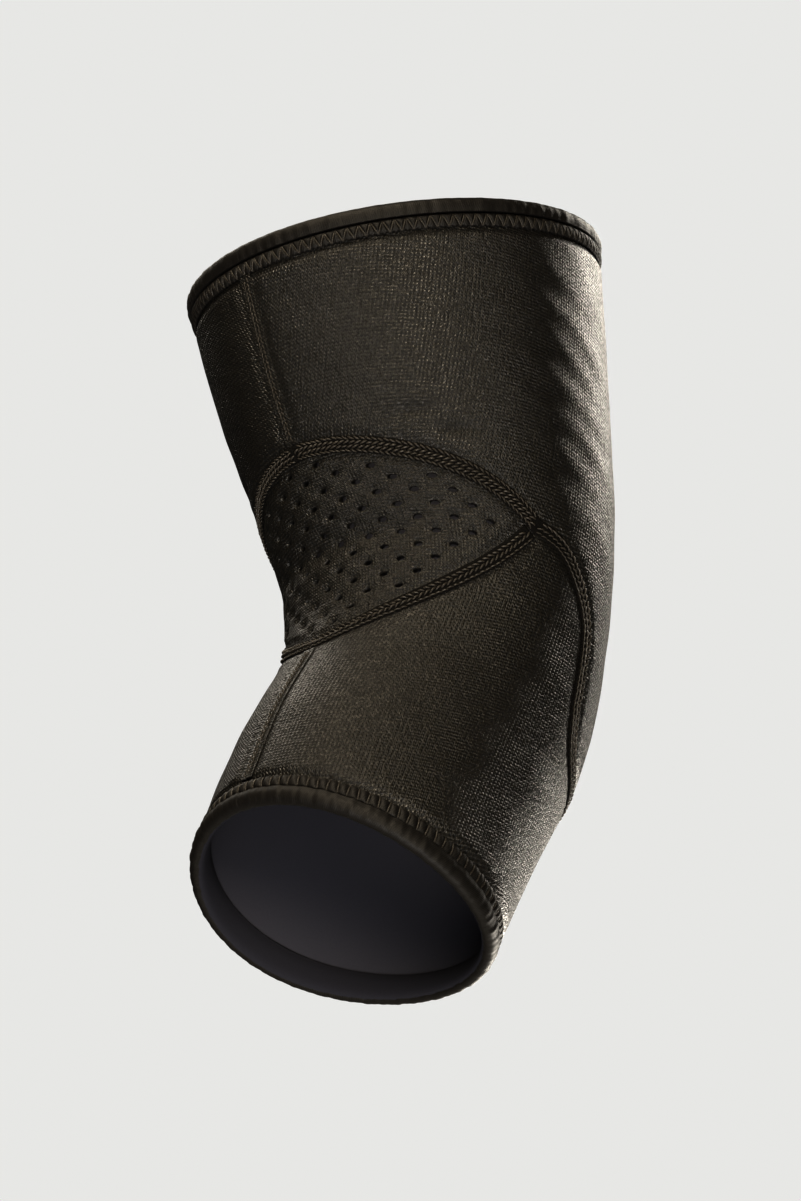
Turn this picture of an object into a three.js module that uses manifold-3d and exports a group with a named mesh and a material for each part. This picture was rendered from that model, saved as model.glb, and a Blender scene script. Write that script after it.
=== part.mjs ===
// Elbow brace: a sleeve of foam-backed knit for a half bent arm.
// Millimetres. +Z runs up the upper arm, the forearm bends forward towards -Y, X is across the arm.
// The origin is the middle of the elbow, inside the sleeve.
//
// A place on the sleeve is { round, up }: round is the angle from the front of the arm towards +X in
// radians, and up is the distance above the elbow along the middle of the arm.

import * as THREE from "three";
import { mergeVertices } from "three/addons/utils/BufferGeometryUtils.js";
import Module from "manifold-3d";

// Lengths along the arm
const UPPER_LENGTH = 108; // elbow to the top edge
const FOREARM_LENGTH = 103.6; // elbow to the bottom edge
const BEND_LENGTH = 95; // stretch over which the arm bends
const FLEXION = 40; // degrees that the forearm is bent forward

// Outside sizes across the sleeve
const TOP_WIDTH = 123.4;
const TOP_DEPTH = 121.3;
const ELBOW_WIDTH = 94;
const ELBOW_DEPTH = 92;
const BOTTOM_WIDTH = 92;
const BOTTOM_DEPTH = 83;

// Cloth
const WALL = 3; // foam between two faces of knit
const JOINT_GAP = 0.3; // from a panel's edge to the middle of its seam
const LAY_GAP = 0.3; // between pieces that lie on each other

// Seams: a flat band of thread lies in a shallow valley
const SEAM_WIDTH = 4.8;
const SEAM_THICK = 0.8;
const VALLEY_DEPTH = 1.2;
const VALLEY_SHOULDER = 2.8; // the cloth rises back to its full height over this width

// Hems: the cloth's edge is folded over and stitched down
const FOLD_HEIGHT = 4.5;
const WELT_PROUD = 0.35; // how far the fold stands out beyond the cloth
const HEM_STITCH_WIDTH = 4;
const TURN_IN = 9; // how far the fold reaches down inside
const TURN_IN_THICK = 0.9;

// Perforated panel in the crook of the elbow
const CROOK_REACH = 78; // degrees from the front to its tip
const CROOK_TOP = 47.5; // its upper edge in front, above the elbow
const CROOK_BOTTOM = 40.5; // its lower edge in front, below the elbow
const TIP_HEIGHT = 11; // its tips, above the elbow
const UPPER_FULLNESS = 1.85; // how round its upper edge is, 2 for a parabola
const LOWER_FULLNESS = 1.6;
const TIP_BLUNT = 1.2; // height at which its tip is cut off
const HOLE_WIDTH = 2;
const HOLE_PITCH = 10; // between holes in a row
const ROW_PITCH = 3.8; // between rows, every other row moved by half a pitch
const HOLE_MARGIN = 4.6; // from a seam's middle to the nearest hole's middle

// Tongue of the upper panel that covers the point of the elbow
const TONGUE_DROP = 41; // its end, below the elbow

// Section of a band of stitching with rounded corners: across as a share of half its width, up as a
// share of its thickness
const BAND_SECTION = [
  { across: -1, up: 0 },
  { across: -0.7, up: 1 },
  { across: 0.7, up: 1 },
  { across: 1, up: 0 },
];

// Section of a folded edge: down as a share of the fold's height, inward as a share of its thickness
const FOLD_SECTION = [
  { down: 1, inward: 0.08 },
  { down: 0.7, inward: 0 },
  { down: 0.15, inward: 0.2 },
  { down: 0, inward: 0.5 },
  { down: 0.15, inward: 0.85 },
];

// Swell of the sleeve beyond a straight taper, as shares of the tapered size.
// at is the share of the arm's length above the elbow, or below it where it is negative.
const SECTIONS = [
  { at: -1.0, side: 0.0, front: 0.007, back: -0.005 },
  { at: -0.66, side: -0.04, front: 0.016, back: 0.02 },
  { at: -0.33, side: -0.036, front: -0.065, back: 0.061 },
  { at: 0.0, side: 0.0, front: -0.006, back: 0.0 },
  { at: 0.33, side: 0.0, front: 0.001, back: -0.005 },
  { at: 0.66, side: 0.012, front: 0.026, back: -0.007 },
  { at: 1.0, side: 0.0, front: -0.007, back: 0.007 },
];

// How each open edge departs from a square cut, as shares of the arm's length on its side of the
// elbow: rise lifts the front and lowers the back, lean lifts +X, peak lifts front and back.
const EDGES = {
  top: { rise: 0.01, lean: -0.021, peak: 0.004 },
  bottom: { rise: 0.008, lean: -0.016, peak: 0.017 },
};

// Side line of the tongue, from a tip of the crook panel to the middle of the back:
// round is the share of the way round, drop the share of the way down to the tongue's end.
const TONGUE_LINE = [
  { round: 0.0, drop: 0.0 },
  { round: 0.12, drop: 0.08 },
  { round: 0.23, drop: 0.24 },
  { round: 0.305, drop: 0.4 },
  { round: 0.335, drop: 0.6 },
  { round: 0.37, drop: 0.8 },
  { round: 0.46, drop: 0.95 },
  { round: 0.66, drop: 1.0 },
  { round: 1.0, drop: 1.0 },
];

// Soft folds in the upper panel, on both sides of the arm: round in degrees, up as a share of the
// upper length, slant in degrees below level, the rest as shares of the elbow's width.
const FOLDS = [
  { round: 97, up: 0.73, slant: 32, long: 0.22, wide: 0.036, deep: 0.01 },
  { round: 98, up: 0.62, slant: 32, long: 0.24, wide: 0.036, deep: 0.012 },
  { round: 98, up: 0.52, slant: 30, long: 0.25, wide: 0.036, deep: 0.012 },
  { round: 99, up: 0.42, slant: 28, long: 0.25, wide: 0.036, deep: 0.012 },
  { round: 100, up: 0.32, slant: 26, long: 0.24, wide: 0.036, deep: 0.012 },
  { round: 100, up: 0.22, slant: 24, long: 0.2, wide: 0.036, deep: 0.01 },
  { round: 40, up: 0.47, slant: 4, long: 0.05, wide: 0.02, deep: 0.007 },
  { round: 54, up: 0.39, slant: 8, long: 0.05, wide: 0.02, deep: 0.007 },
];

// How finely the faceted surfaces are cut
const HALF_COLUMNS = 22; // across half of a panel
const UPPER_ROWS = 15; // between the seam and the hem
const FOREARM_ROWS = 4;
const CROOK_COLUMNS = 14;
const CROOK_ROWS = 2;
const CROWDING = 77.4; // degrees of a sine over which the crook's columns are spread
const MOST_ROOM = 0.46; // share of a crook column that the rows beside one seam may take
const LEAST_SQUEEZE = 0.05; // and the share of their distances that they keep at the tips
const COLUMN_PULL = 0.3; // share of a column over which it turns square to its seam and its hem
const RING_STEPS = 38;
const SEAM_STEP = 7.7;
const HOLE_SIDES = 4;
const PLUG_PROUD = 3; // how far the plugs that cut the holes stand out at both faces

// How closely the smooth shapes are followed
const LINE_POINTS = 60; // along a seam line
const CENTRE_STEPS = 24; // along the middle of the arm
const HALVINGS = 30; // when a value is searched for
const NEARBY = 0.01; // between two points of the skin that give a direction
const LINE_SPAN = 2; // along a seam, to both sides of the point whose direction is taken
const SHARE_SPAN = 0.02; // the same as a share of the crook's reach
const WELD = 1e-4; // points that are closer than this are one

const radians = THREE.MathUtils.degToRad;
const lerp = THREE.MathUtils.lerp;
const smooth = (t) => THREE.MathUtils.smoothstep(t, 0, 1);

// A smooth curve through the given values, as a function of x.
function curveThrough(xs, ys) {
  const last = xs.length - 1;
  const slope = (i) => {
    const a = Math.max(i - 1, 0);
    const b = Math.min(i + 1, last);
    return (ys[b] - ys[a]) / (xs[b] - xs[a]);
  };
  return (x) => {
    let i = 0;
    while (i < last - 1 && x > xs[i + 1]) i += 1;
    const span = xs[i + 1] - xs[i];
    const t = THREE.MathUtils.clamp((x - xs[i]) / span, 0, 1);
    const rest = 1 - t;
    return (
      ys[i] * rest * rest * (1 + 2 * t) +
      ys[i + 1] * t * t * (3 - 2 * t) +
      span * t * rest * (slope(i) * rest - slope(i + 1) * t)
    );
  };
}

// The sleeve's half sizes by the share of the arm's length.
const stations = SECTIONS.map((row) => row.at);
function halfSize(top, elbow, bottom, swell) {
  const tapered = (at) => lerp(elbow, at > 0 ? top : bottom, Math.abs(at)) / 2;
  return curveThrough(
    stations,
    SECTIONS.map((row) => tapered(row.at) * (1 + row[swell])),
  );
}
const halfWidth = halfSize(TOP_WIDTH, ELBOW_WIDTH, BOTTOM_WIDTH, "side");
const frontDepth = halfSize(TOP_DEPTH, ELBOW_DEPTH, BOTTOM_DEPTH, "front");
const backDepth = halfSize(TOP_DEPTH, ELBOW_DEPTH, BOTTOM_DEPTH, "back");
const armLength = (up) => (up > 0 ? UPPER_LENGTH : FOREARM_LENGTH);

// Angle by which the arm leans forward at a height: none up the upper arm, all down the forearm.
function turn(up) {
  return radians(FLEXION) * smooth(0.5 - up / BEND_LENGTH);
}

// Middle of the arm at a height, by adding up small steps along the turning direction.
function centre(up) {
  const step = up / CENTRE_STEPS;
  let y = 0;
  let z = 0;
  for (let i = 0; i < CENTRE_STEPS; i += 1) {
    const angle = turn((i + 0.5) * step);
    y += Math.sin(angle) * step;
    z += Math.cos(angle) * step;
  }
  return { y, z };
}

// Height of a place once the open edges' departure from a square cut is shared out along the arm.
function trueHeight(round, up) {
  const edge = up > 0 ? EDGES.top : EDGES.bottom;
  const share = up / armLength(up);
  const shift =
    edge.rise * Math.cos(round) + edge.lean * Math.sin(round) + edge.peak * Math.cos(2 * round);
  return up + shift * armLength(up) * share * share;
}

// A point of the smooth sleeve: an ellipse across the arm whose front and back halves differ.
function sleevePoint(round, up) {
  const share = up / armLength(up);
  const height = trueHeight(round, up);
  const depth = Math.cos(round) > 0 ? frontDepth(share) : backDepth(share);
  const forward = depth * Math.cos(round);
  const middle = centre(height);
  const angle = turn(height);
  return new THREE.Vector3(
    halfWidth(share) * Math.sin(round),
    middle.y - forward * Math.cos(angle),
    middle.z + forward * Math.sin(angle),
  );
}

// A point that stands out from the smooth sleeve by a distance along its normal.
function skinPoint(round, up, out) {
  const across = sleevePoint(round + NEARBY, up).sub(sleevePoint(round - NEARBY, up));
  const along = sleevePoint(round, up + NEARBY).sub(sleevePoint(round, up - NEARBY));
  const normal = across.cross(along).normalize();
  return sleevePoint(round, up).addScaledVector(normal, out);
}

// Distances over the skin. The crook is short and the back is long where the arm bends.
const skinRadius = (up) => {
  const share = up / armLength(up);
  return (2 * halfWidth(share) + frontDepth(share) + backDepth(share)) / 4;
};
const stretch = (round, up) => {
  const share = up / armLength(up);
  const curl = (turn(up - NEARBY) - turn(up + NEARBY)) / (2 * NEARBY);
  return 1 - curl * Math.cos(round) * (Math.cos(round) > 0 ? frontDepth(share) : backDepth(share));
};

// The skin laid flat: x round the arm and y along it, from the middle of the crook.
function flat(place) {
  const bent = turn(0) - turn(place.up);
  const depth = Math.cos(place.round) > 0 ? frontDepth(0) : backDepth(0);
  return new THREE.Vector2(
    place.round * skinRadius(place.up),
    place.up - depth * Math.cos(place.round) * bent,
  );
}

// A place moved by a small distance over the skin.
function moved(place, x, y) {
  return {
    round: place.round + x / skinRadius(place.up),
    up: place.up + y / stretch(place.round, place.up),
  };
}

// Seam lines on the +X half of the sleeve, from front to back.
function crookEdge(share, end, fullness) {
  return {
    round: radians(CROOK_REACH) * share,
    up: lerp(TIP_HEIGHT, end, 1 - share ** fullness),
  };
}
const crookUpperEdge = (share) => crookEdge(share, CROOK_TOP, UPPER_FULLNESS);
const crookLowerEdge = (share) => crookEdge(share, -CROOK_BOTTOM, LOWER_FULLNESS);

const tongueCurve = new THREE.SplineCurve(
  TONGUE_LINE.map((row) => new THREE.Vector2(row.round, row.drop)),
);
function tongueEdge(share) {
  const row = tongueCurve.getPoint(share);
  return {
    round: lerp(radians(CROOK_REACH), Math.PI, row.x),
    up: lerp(TIP_HEIGHT, -TONGUE_DROP, row.y),
  };
}

// Many places along a line, and the same line cut at given distances over the skin.
const sampled = (line) => Array.from({ length: LINE_POINTS + 1 }, (_, i) => line(i / LINE_POINTS));
function lengths(line) {
  const flatLine = line.map(flat);
  const sums = [0];
  for (let i = 1; i < line.length; i += 1) {
    sums.push(sums[i - 1] + flatLine[i].distanceTo(flatLine[i - 1]));
  }
  return sums;
}
function placeAt(line, sums, distance) {
  let i = 0;
  while (i < sums.length - 2 && distance > sums[i + 1]) i += 1;
  const t = (distance - sums[i]) / (sums[i + 1] - sums[i]);
  return {
    round: lerp(line[i].round, line[i + 1].round, t),
    up: lerp(line[i].up, line[i + 1].up, t),
  };
}

const straightLine = (from, to) => sampled((t) => ({ round: 0, up: lerp(from, to, t) }));
const crookUpperLine = sampled(crookUpperEdge);
const crookLowerLine = sampled(crookLowerEdge);
const tongueLine = sampled(tongueEdge);
const elbowLine = [...crookUpperLine, ...tongueLine.slice(1)];
const forearmLine = [...crookLowerLine, ...tongueLine.slice(1)];
const upperFrontLine = straightLine(CROOK_TOP, UPPER_LENGTH);
const forearmFrontLine = straightLine(-CROOK_BOTTOM, -FOREARM_LENGTH);

// Angle from the front of the arm, alike on both of its sides.
const fromFront = (round) => Math.abs(Math.atan2(Math.sin(round), Math.cos(round)));

// Distance over the skin from a place to the nearest of some seam lines.
const elbowFlat = elbowLine.map(flat);
const crookLowerFlat = crookLowerLine.map(flat);
const seamsFlat = [elbowFlat, crookLowerFlat, upperFrontLine.map(flat), forearmFrontLine.map(flat)];
function distanceTo(lines, place) {
  const at = flat({ round: fromFront(place.round), up: place.up });
  let nearest = Infinity;
  for (const line of lines) {
    for (let i = 1; i < line.length; i += 1) {
      const side = line[i].clone().sub(line[i - 1]);
      const t = at.clone().sub(line[i - 1]).dot(side) / side.lengthSq();
      const foot = line[i - 1].clone().addScaledVector(side, THREE.MathUtils.clamp(t, 0, 1));
      nearest = Math.min(nearest, foot.distanceTo(at));
    }
  }
  return nearest;
}

// Height of the cloth's outer face: it drops into a valley under each seam and each hem's stitching,
// and into the folds of the upper panel.
const VALLEY_FLOOR = SEAM_WIDTH / 2 + LAY_GAP; // half the width of the valley's flat floor
const clothEdge = FOLD_HEIGHT + LAY_GAP; // from an open edge to the cloth's own edge
const stitchingEnd = clothEdge + HEM_STITCH_WIDTH; // and to the end of the stitching
const hemFloor = stitchingEnd + LAY_GAP; // and to the end of the flat floor
function clothFace(place) {
  const fromSeam = distanceTo(seamsFlat, place) - VALLEY_FLOOR;
  const fromHem = armLength(place.up) - Math.abs(place.up) - hemFloor;
  const rise = smooth(Math.min(fromSeam, fromHem) / VALLEY_SHOULDER);
  return -VALLEY_DEPTH * (1 - rise) - foldDepth(place) * rise;
}

// Depth of the soft folds at a place of the upper panel: each is a groove that fades out at its ends.
function foldDepth(place) {
  if (distanceTo([elbowFlat], place) < VALLEY_FLOOR) return 0;
  const round = fromFront(place.round);
  let depth = 0;
  for (const fold of FOLDS) {
    const x = (round - radians(fold.round)) * skinRadius(place.up);
    const y = place.up - fold.up * UPPER_LENGTH;
    const slant = radians(fold.slant);
    const along = (x * Math.cos(slant) - y * Math.sin(slant)) / (fold.long * ELBOW_WIDTH);
    const across = (x * Math.sin(slant) + y * Math.cos(slant)) / (fold.wide * ELBOW_WIDTH);
    depth += fold.deep * ELBOW_WIDTH * Math.exp(-along * along - across * across);
  }
  return depth;
}

const outerPoint = (place) => skinPoint(place.round, place.up, clothFace(place));
const innerPoint = (place) => skinPoint(place.round, place.up, -WALL);

// A closed surface from rows of points: rings that follow each other, capped at both ends or joined
// end to end. Each ring goes round the same way, and the faces point out of the tube that they make.
function solidFromRings(rings, joined) {
  const size = rings[0].length;
  const index = [];
  const at = (ring, i) => (ring % rings.length) * size + (i % size);
  const spans = joined ? rings.length : rings.length - 1;
  for (let ring = 0; ring < spans; ring += 1) {
    for (let i = 0; i < size; i += 1) {
      index.push(at(ring, i), at(ring + 1, i + 1), at(ring, i + 1));
      index.push(at(ring, i), at(ring + 1, i), at(ring + 1, i + 1));
    }
  }
  if (!joined) {
    const end = rings.length - 1;
    for (const [a, b, c] of capTriangles(size)) {
      index.push(at(0, a), at(0, b), at(0, c));
      index.push(at(end, a), at(end, c), at(end, b));
    }
  }
  const geometry = new THREE.BufferGeometry().setFromPoints(rings.flat());
  geometry.setIndex(index);
  return geometry;
}

// Triangles that close a ring made of an outer row and an inner row of the same length, which runs
// back: a ladder between the two rows.
function capTriangles(size) {
  const triangles = [];
  for (let i = 0; i < size / 2 - 1; i += 1) {
    triangles.push([i, i + 1, size - 1 - i]);
    triangles.push([i + 1, size - 2 - i, size - 1 - i]);
  }
  return triangles;
}

// A panel from columns of places: its outer face, its inner face and the edges between them.
function panelGeometry(columns) {
  const rings = columns.map((column) => [
    ...column.map(outerPoint),
    ...column.slice().reverse().map(innerPoint),
  ]);
  return solidFromRings(rings, false);
}

// The other half of a panel that is the same on both sides of the arm.
const mirrored = (place) => ({ round: 2 * Math.PI - place.round, up: place.up });

// Distances across a half panel: close together beside the front seam, then even.
const besideSeam = [JOINT_GAP, VALLEY_FLOOR, VALLEY_FLOOR + VALLEY_SHOULDER];
function columnDistances(total) {
  const first = besideSeam[2];
  const count = HALF_COLUMNS - besideSeam.length;
  const even = Array.from({ length: count }, (_, i) => lerp(first, total, (i + 1) / count));
  return [...besideSeam, ...even];
}

// Direction over the skin that leaves a seam line squarely towards one side.
function squareOff(line, sums, distance, side) {
  const total = sums[sums.length - 1];
  const before = flat(placeAt(line, sums, Math.max(distance - LINE_SPAN, 0)));
  const after = flat(placeAt(line, sums, Math.min(distance + LINE_SPAN, total)));
  const along = after.sub(before).normalize();
  return new THREE.Vector2(-along.y * side, along.x * side);
}

// Columns of the +X half of a panel that reaches from a seam line to an open edge. side is 1 where
// the open edge lies above the seam and -1 where it lies below. A column leaves the seam squarely,
// and then bends to meet the hem squarely.
function halfPanel(line, side, rows) {
  const sums = lengths(line);
  const edge = side > 0 ? UPPER_LENGTH : FOREARM_LENGTH;
  const hemRows = [hemFloor + VALLEY_SHOULDER, hemFloor, clothEdge].map((d) => side * (edge - d));
  const total = sums[sums.length - 1];
  const around = Math.PI * skinRadius(side * edge);
  const alongSeam = columnDistances(total);
  const alongHem = columnDistances(around);
  return alongSeam.map((distance, column) => {
    const start = placeAt(line, sums, distance);
    const away = squareOff(line, sums, distance, side);
    if (column < besideSeam.length) away.set(0, side);
    if (column === alongSeam.length - 1) {
      start.round = Math.PI;
      away.set(0, side);
    }
    const nearSeam = besideSeam.map((d) => moved(start, away.x * d, away.y * d));
    const from = nearSeam[2];
    const to = { round: (Math.PI * alongHem[column]) / around, up: hemRows[0] };
    const pull = COLUMN_PULL * Math.abs(to.up - from.up);
    const leave = moved(from, away.x * pull, away.y * pull);
    const arrive = { round: to.round, up: to.up - side * pull };
    const bend = (key, t) => {
      const rest = 1 - t;
      return (
        from[key] * rest ** 3 +
        3 * leave[key] * rest * rest * t +
        3 * arrive[key] * rest * t * t +
        to[key] * t ** 3
      );
    };
    const between = Array.from({ length: rows }, (_, i) => {
      const t = (i + 1) / (rows + 1);
      return { round: bend("round", t), up: bend("up", t) };
    });
    const nearHem = hemRows.map((up) => ({ round: to.round, up }));
    return [...nearSeam, ...between, ...nearHem];
  });
}

// A panel round the whole arm, open in front where its two ends meet in a seam.
function wrapPanel(line, side, rows) {
  const right = halfPanel(line, side, rows);
  const left = right
    .slice(0, -1)
    .reverse()
    .map((column) => column.map(mirrored));
  const columns = [...right, ...left];
  return panelGeometry(side > 0 ? columns : columns.map((column) => column.reverse()));
}

// The value between two others up to which a condition holds, found by halving.
function lastWhere(low, high, holds) {
  let [a, b] = [low, high];
  for (let i = 0; i < HALVINGS; i += 1) {
    const middle = (a + b) / 2;
    if (holds(middle)) a = middle;
    else b = middle;
  }
  return a;
}

// Height above the elbow at a share of the way over the skin between two heights.
function heightOnSkin(round, low, high, share) {
  const wanted = lerp(flat({ round, up: low }).y, flat({ round, up: high }).y, share);
  return lastWhere(low, high, (up) => flat({ round, up }).y < wanted);
}

// Height over the skin between the two edges of the crook panel, at a share of its reach.
const crookHeight = (share) => flat(crookUpperEdge(share)).y - flat(crookLowerEdge(share)).y;

// How much longer an edge of the crook panel is than its reach round the arm.
function slopeAt(edge, share) {
  const middle = THREE.MathUtils.clamp(share, SHARE_SPAN, 1 - SHARE_SPAN);
  const along = flat(edge(middle + SHARE_SPAN)).sub(flat(edge(middle - SHARE_SPAN)));
  return along.length() / Math.abs(along.x);
}

// Shares of a crook column at which the rows beside one of its edges lie: at their own distances from
// the seam where there is room, and squeezed together towards the tips.
function rowsBeside(edge, share) {
  const wanted = besideSeam.map((d) => (d * slopeAt(edge, share)) / crookHeight(share));
  const room = (MOST_ROOM - wanted[0]) / (wanted[2] - wanted[0]);
  const squeeze = THREE.MathUtils.clamp(room, LEAST_SQUEEZE, 1);
  return wanted.map((d) => lerp(wanted[0], d, squeeze));
}

// Columns of the crook panel, each from its lower to its upper edge. They stand closer at the tips.
function crookColumns() {
  const reach = lastWhere(0, 1, (share) => crookHeight(share) > TIP_BLUNT + 3 * JOINT_GAP);
  const crowding = radians(CROWDING);
  return Array.from({ length: CROOK_COLUMNS + 1 }, (_, i) => {
    const spread = Math.sin(crowding * lerp(-1, 1, i / CROOK_COLUMNS)) / Math.sin(crowding);
    const size = Math.abs(reach * spread);
    const round = radians(CROOK_REACH) * reach * spread;
    const low = crookLowerEdge(size).up;
    const high = crookUpperEdge(size).up;
    const below = rowsBeside(crookLowerEdge, size);
    const above = rowsBeside(crookUpperEdge, size).map((d) => 1 - d);
    const between = Array.from({ length: CROOK_ROWS }, (_, j) =>
      lerp(below[2], above[2], (j + 1) / (CROOK_ROWS + 1)),
    );
    const shares = [...below, ...between, ...above.reverse()];
    return shares.map((t) => ({ round, up: heightOnSkin(round, low, high, t) }));
  });
}

// Middles of the holes: staggered rows over the flat skin, clear of the seams.
function holePlaces() {
  const places = [];
  const edges = [elbowFlat, crookLowerFlat];
  const rowCount = Math.ceil((CROOK_TOP + CROOK_BOTTOM) / ROW_PITCH);
  const holeCount = Math.ceil(radians(CROOK_REACH) * skinRadius(0) / HOLE_PITCH) + 1;
  const lowest = flat({ round: 0, up: -CROOK_BOTTOM }).y;
  const highest = flat({ round: 0, up: CROOK_TOP }).y;
  for (let row = -rowCount; row <= rowCount; row += 1) {
    const share = (row * ROW_PITCH - lowest) / (highest - lowest);
    if (share < 0 || share > 1) continue;
    for (let i = -holeCount; i <= holeCount; i += 1) {
      const round = ((i + (row % 2 === 0 ? 0 : 0.5)) * HOLE_PITCH) / skinRadius(0);
      const size = Math.abs(round) / radians(CROOK_REACH);
      if (size >= 1) continue;
      const place = { round, up: heightAtSkin(round, row * ROW_PITCH) };
      const inside =
        place.up < crookUpperEdge(size).up && place.up > crookLowerEdge(size).up;
      if (inside && distanceTo(edges, place) >= HOLE_MARGIN) places.push(place);
    }
  }
  return places;
}

// Height above the elbow whose distance over the skin from the middle of the crook is given.
function heightAtSkin(round, distance) {
  const low = flat({ round, up: -CROOK_BOTTOM }).y;
  const high = flat({ round, up: CROOK_TOP }).y;
  return heightOnSkin(round, -CROOK_BOTTOM, CROOK_TOP, (distance - low) / (high - low));
}

// Plugs that fill the holes and stand out at both faces of the cloth.
function holePlugs() {
  const ring = (place, out) =>
    Array.from({ length: HOLE_SIDES }, (_, i) => {
      const angle = (2 * Math.PI * i) / HOLE_SIDES;
      const x = (HOLE_WIDTH / 2) * Math.cos(angle);
      const y = (HOLE_WIDTH / 2) * Math.sin(angle);
      const at = moved(place, x, y);
      return skinPoint(at.round, at.up, out);
    });
  return holePlaces().map((place) =>
    solidFromRings([ring(place, PLUG_PROUD), ring(place, -WALL - PLUG_PROUD)], false),
  );
}

// Cutting with manifold-3d
const wasm = await Module();
wasm.setup();
function toManifold(geometry) {
  const bare = geometry.clone();
  bare.deleteAttribute("normal");
  bare.deleteAttribute("uv");
  const merged = mergeVertices(bare, WELD);
  return new wasm.Manifold(
    new wasm.Mesh({
      numProp: 3,
      vertProperties: new Float32Array(merged.attributes.position.array),
      triVerts: new Uint32Array(merged.index.array),
    }),
  );
}
function toGeometry(manifold) {
  const mesh = manifold.getMesh();
  const geometry = new THREE.BufferGeometry();
  geometry.setAttribute("position", new THREE.BufferAttribute(mesh.vertProperties, 3));
  geometry.setIndex(new THREE.BufferAttribute(mesh.triVerts, 1));
  return geometry;
}

function crookPanel() {
  const cloth = toManifold(panelGeometry(crookColumns()));
  const pierced = holePlugs().reduce((left, plug) => left.subtract(toManifold(plug)), cloth);
  return toGeometry(pierced);
}

// How far a band of stitching stands out from the sleeve: it lies in its valley.
const bandOut = (up) => LAY_GAP - VALLEY_DEPTH + SEAM_THICK * up;

// A band of stitching along a line: a flat strip whose upper corners are rounded off.
function seamBand(places, aways, joined) {
  const rings = places.map((place, i) =>
    BAND_SECTION.map(({ across, up }) => {
      const distance = (across * SEAM_WIDTH) / 2;
      const at = moved(place, aways[i].x * distance, aways[i].y * distance);
      return skinPoint(at.round, at.up, bandOut(up));
    }),
  );
  return solidFromRings(rings, joined);
}

// Evenly spaced places along a line between two distances, with the direction across it.
function stepsAlong(line, from, to) {
  const sums = lengths(line);
  const count = Math.max(2, Math.round((to - from) / SEAM_STEP));
  const distances = Array.from({ length: count + 1 }, (_, i) => lerp(from, to, i / count));
  return {
    places: distances.map((d) => placeAt(line, sums, d)),
    aways: distances.map((d) => squareOff(line, sums, d, 1)),
  };
}

// The seam round the elbow: over the crook panel, down both sides of the tongue and under its end.
function elbowSeam() {
  const sums = lengths(elbowLine);
  const { places, aways } = stepsAlong(elbowLine, 0, sums[sums.length - 1]);
  aways[0].set(0, 1);
  aways[aways.length - 1].set(0, 1);
  const leftPlaces = places.slice(1, -1).reverse().map(mirrored);
  const leftAways = aways.slice(1, -1).reverse().map((away) => new THREE.Vector2(-away.x, away.y));
  return seamBand([...places, ...leftPlaces], [...aways, ...leftAways], true);
}

// The seam under the crook panel, from one side of the elbow seam to the other.
function crookLowerSeam() {
  const sums = lengths(crookLowerLine);
  const clear = SEAM_WIDTH / 2 + 2 * LAY_GAP;
  const isClear = (d) => distanceTo([elbowFlat], placeAt(crookLowerLine, sums, d)) > clear;
  const end = lastWhere(0, sums[sums.length - 1], isClear);
  const { places, aways } = stepsAlong(crookLowerLine, 0, end);
  aways[0].set(0, 1);
  const leftPlaces = places.slice(1).reverse().map(({ round, up }) => ({ round: -round, up }));
  const leftAways = aways.slice(1).reverse().map((away) => new THREE.Vector2(-away.x, away.y));
  return seamBand([...leftPlaces, ...places], [...leftAways, ...aways], false);
}

// A straight seam along the front, from a seam of the crook panel to the stitching of a hem.
function frontSeam(from, to) {
  const line = straightLine(from, to);
  const sums = lengths(line);
  const clear = SEAM_WIDTH / 2 + LAY_GAP;
  const { places, aways } = stepsAlong(line, clear, sums[sums.length - 1] - LAY_GAP);
  return seamBand(places, aways, false);
}
const upperFrontSeam = () => frontSeam(CROOK_TOP, UPPER_LENGTH - stitchingEnd);
const forearmFrontSeam = () => frontSeam(-CROOK_BOTTOM, stitchingEnd - FOREARM_LENGTH);

// A ring round an open edge with a section of { down, out }: down is the distance from the edge.
function edgeRing(side, section) {
  const edge = side > 0 ? UPPER_LENGTH : FOREARM_LENGTH;
  const rings = Array.from({ length: RING_STEPS }, (_, i) => {
    const round = (side * 2 * Math.PI * i) / RING_STEPS;
    return section.map(({ down, out }) => skinPoint(round, side * (edge - down), out));
  });
  return solidFromRings(rings, true);
}

// The folded edge: a rounded welt above the cloth's own edge, and the turned-in cloth behind it.
function hem(side) {
  const lining = -WALL - LAY_GAP;
  const back = lining - TURN_IN_THICK;
  const fold = FOLD_SECTION.map(({ down, inward }) => ({
    down: down * FOLD_HEIGHT,
    out: lerp(WELT_PROUD, back, inward),
  }));
  return edgeRing(side, [
    ...fold,
    { down: TURN_IN, out: back },
    { down: TURN_IN, out: lining },
    { down: FOLD_HEIGHT, out: lining },
  ]);
}

// The stitching that holds the fold down.
function hemStitching(side) {
  const middle = (stitchingEnd + clothEdge) / 2;
  const section = BAND_SECTION.map(({ across, up }) => ({
    down: middle - (across * HEM_STITCH_WIDTH) / 2,
    out: bandOut(up),
  }));
  return edgeRing(side, section);
}

const knit = { color: 0x2e2823, roughness: 0.86, metalness: 0 };
const meshKnit = { color: 0x332d27, roughness: 0.8, metalness: 0 };
const binding = { color: 0x2a251f, roughness: 0.72, metalness: 0 };
const thread = { color: 0x3a3128, roughness: 0.62, metalness: 0 };

function mesh(name, geometry, finish) {
  const made = new THREE.Mesh(geometry, new THREE.MeshStandardMaterial(finish));
  made.name = name;
  return made;
}

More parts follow.
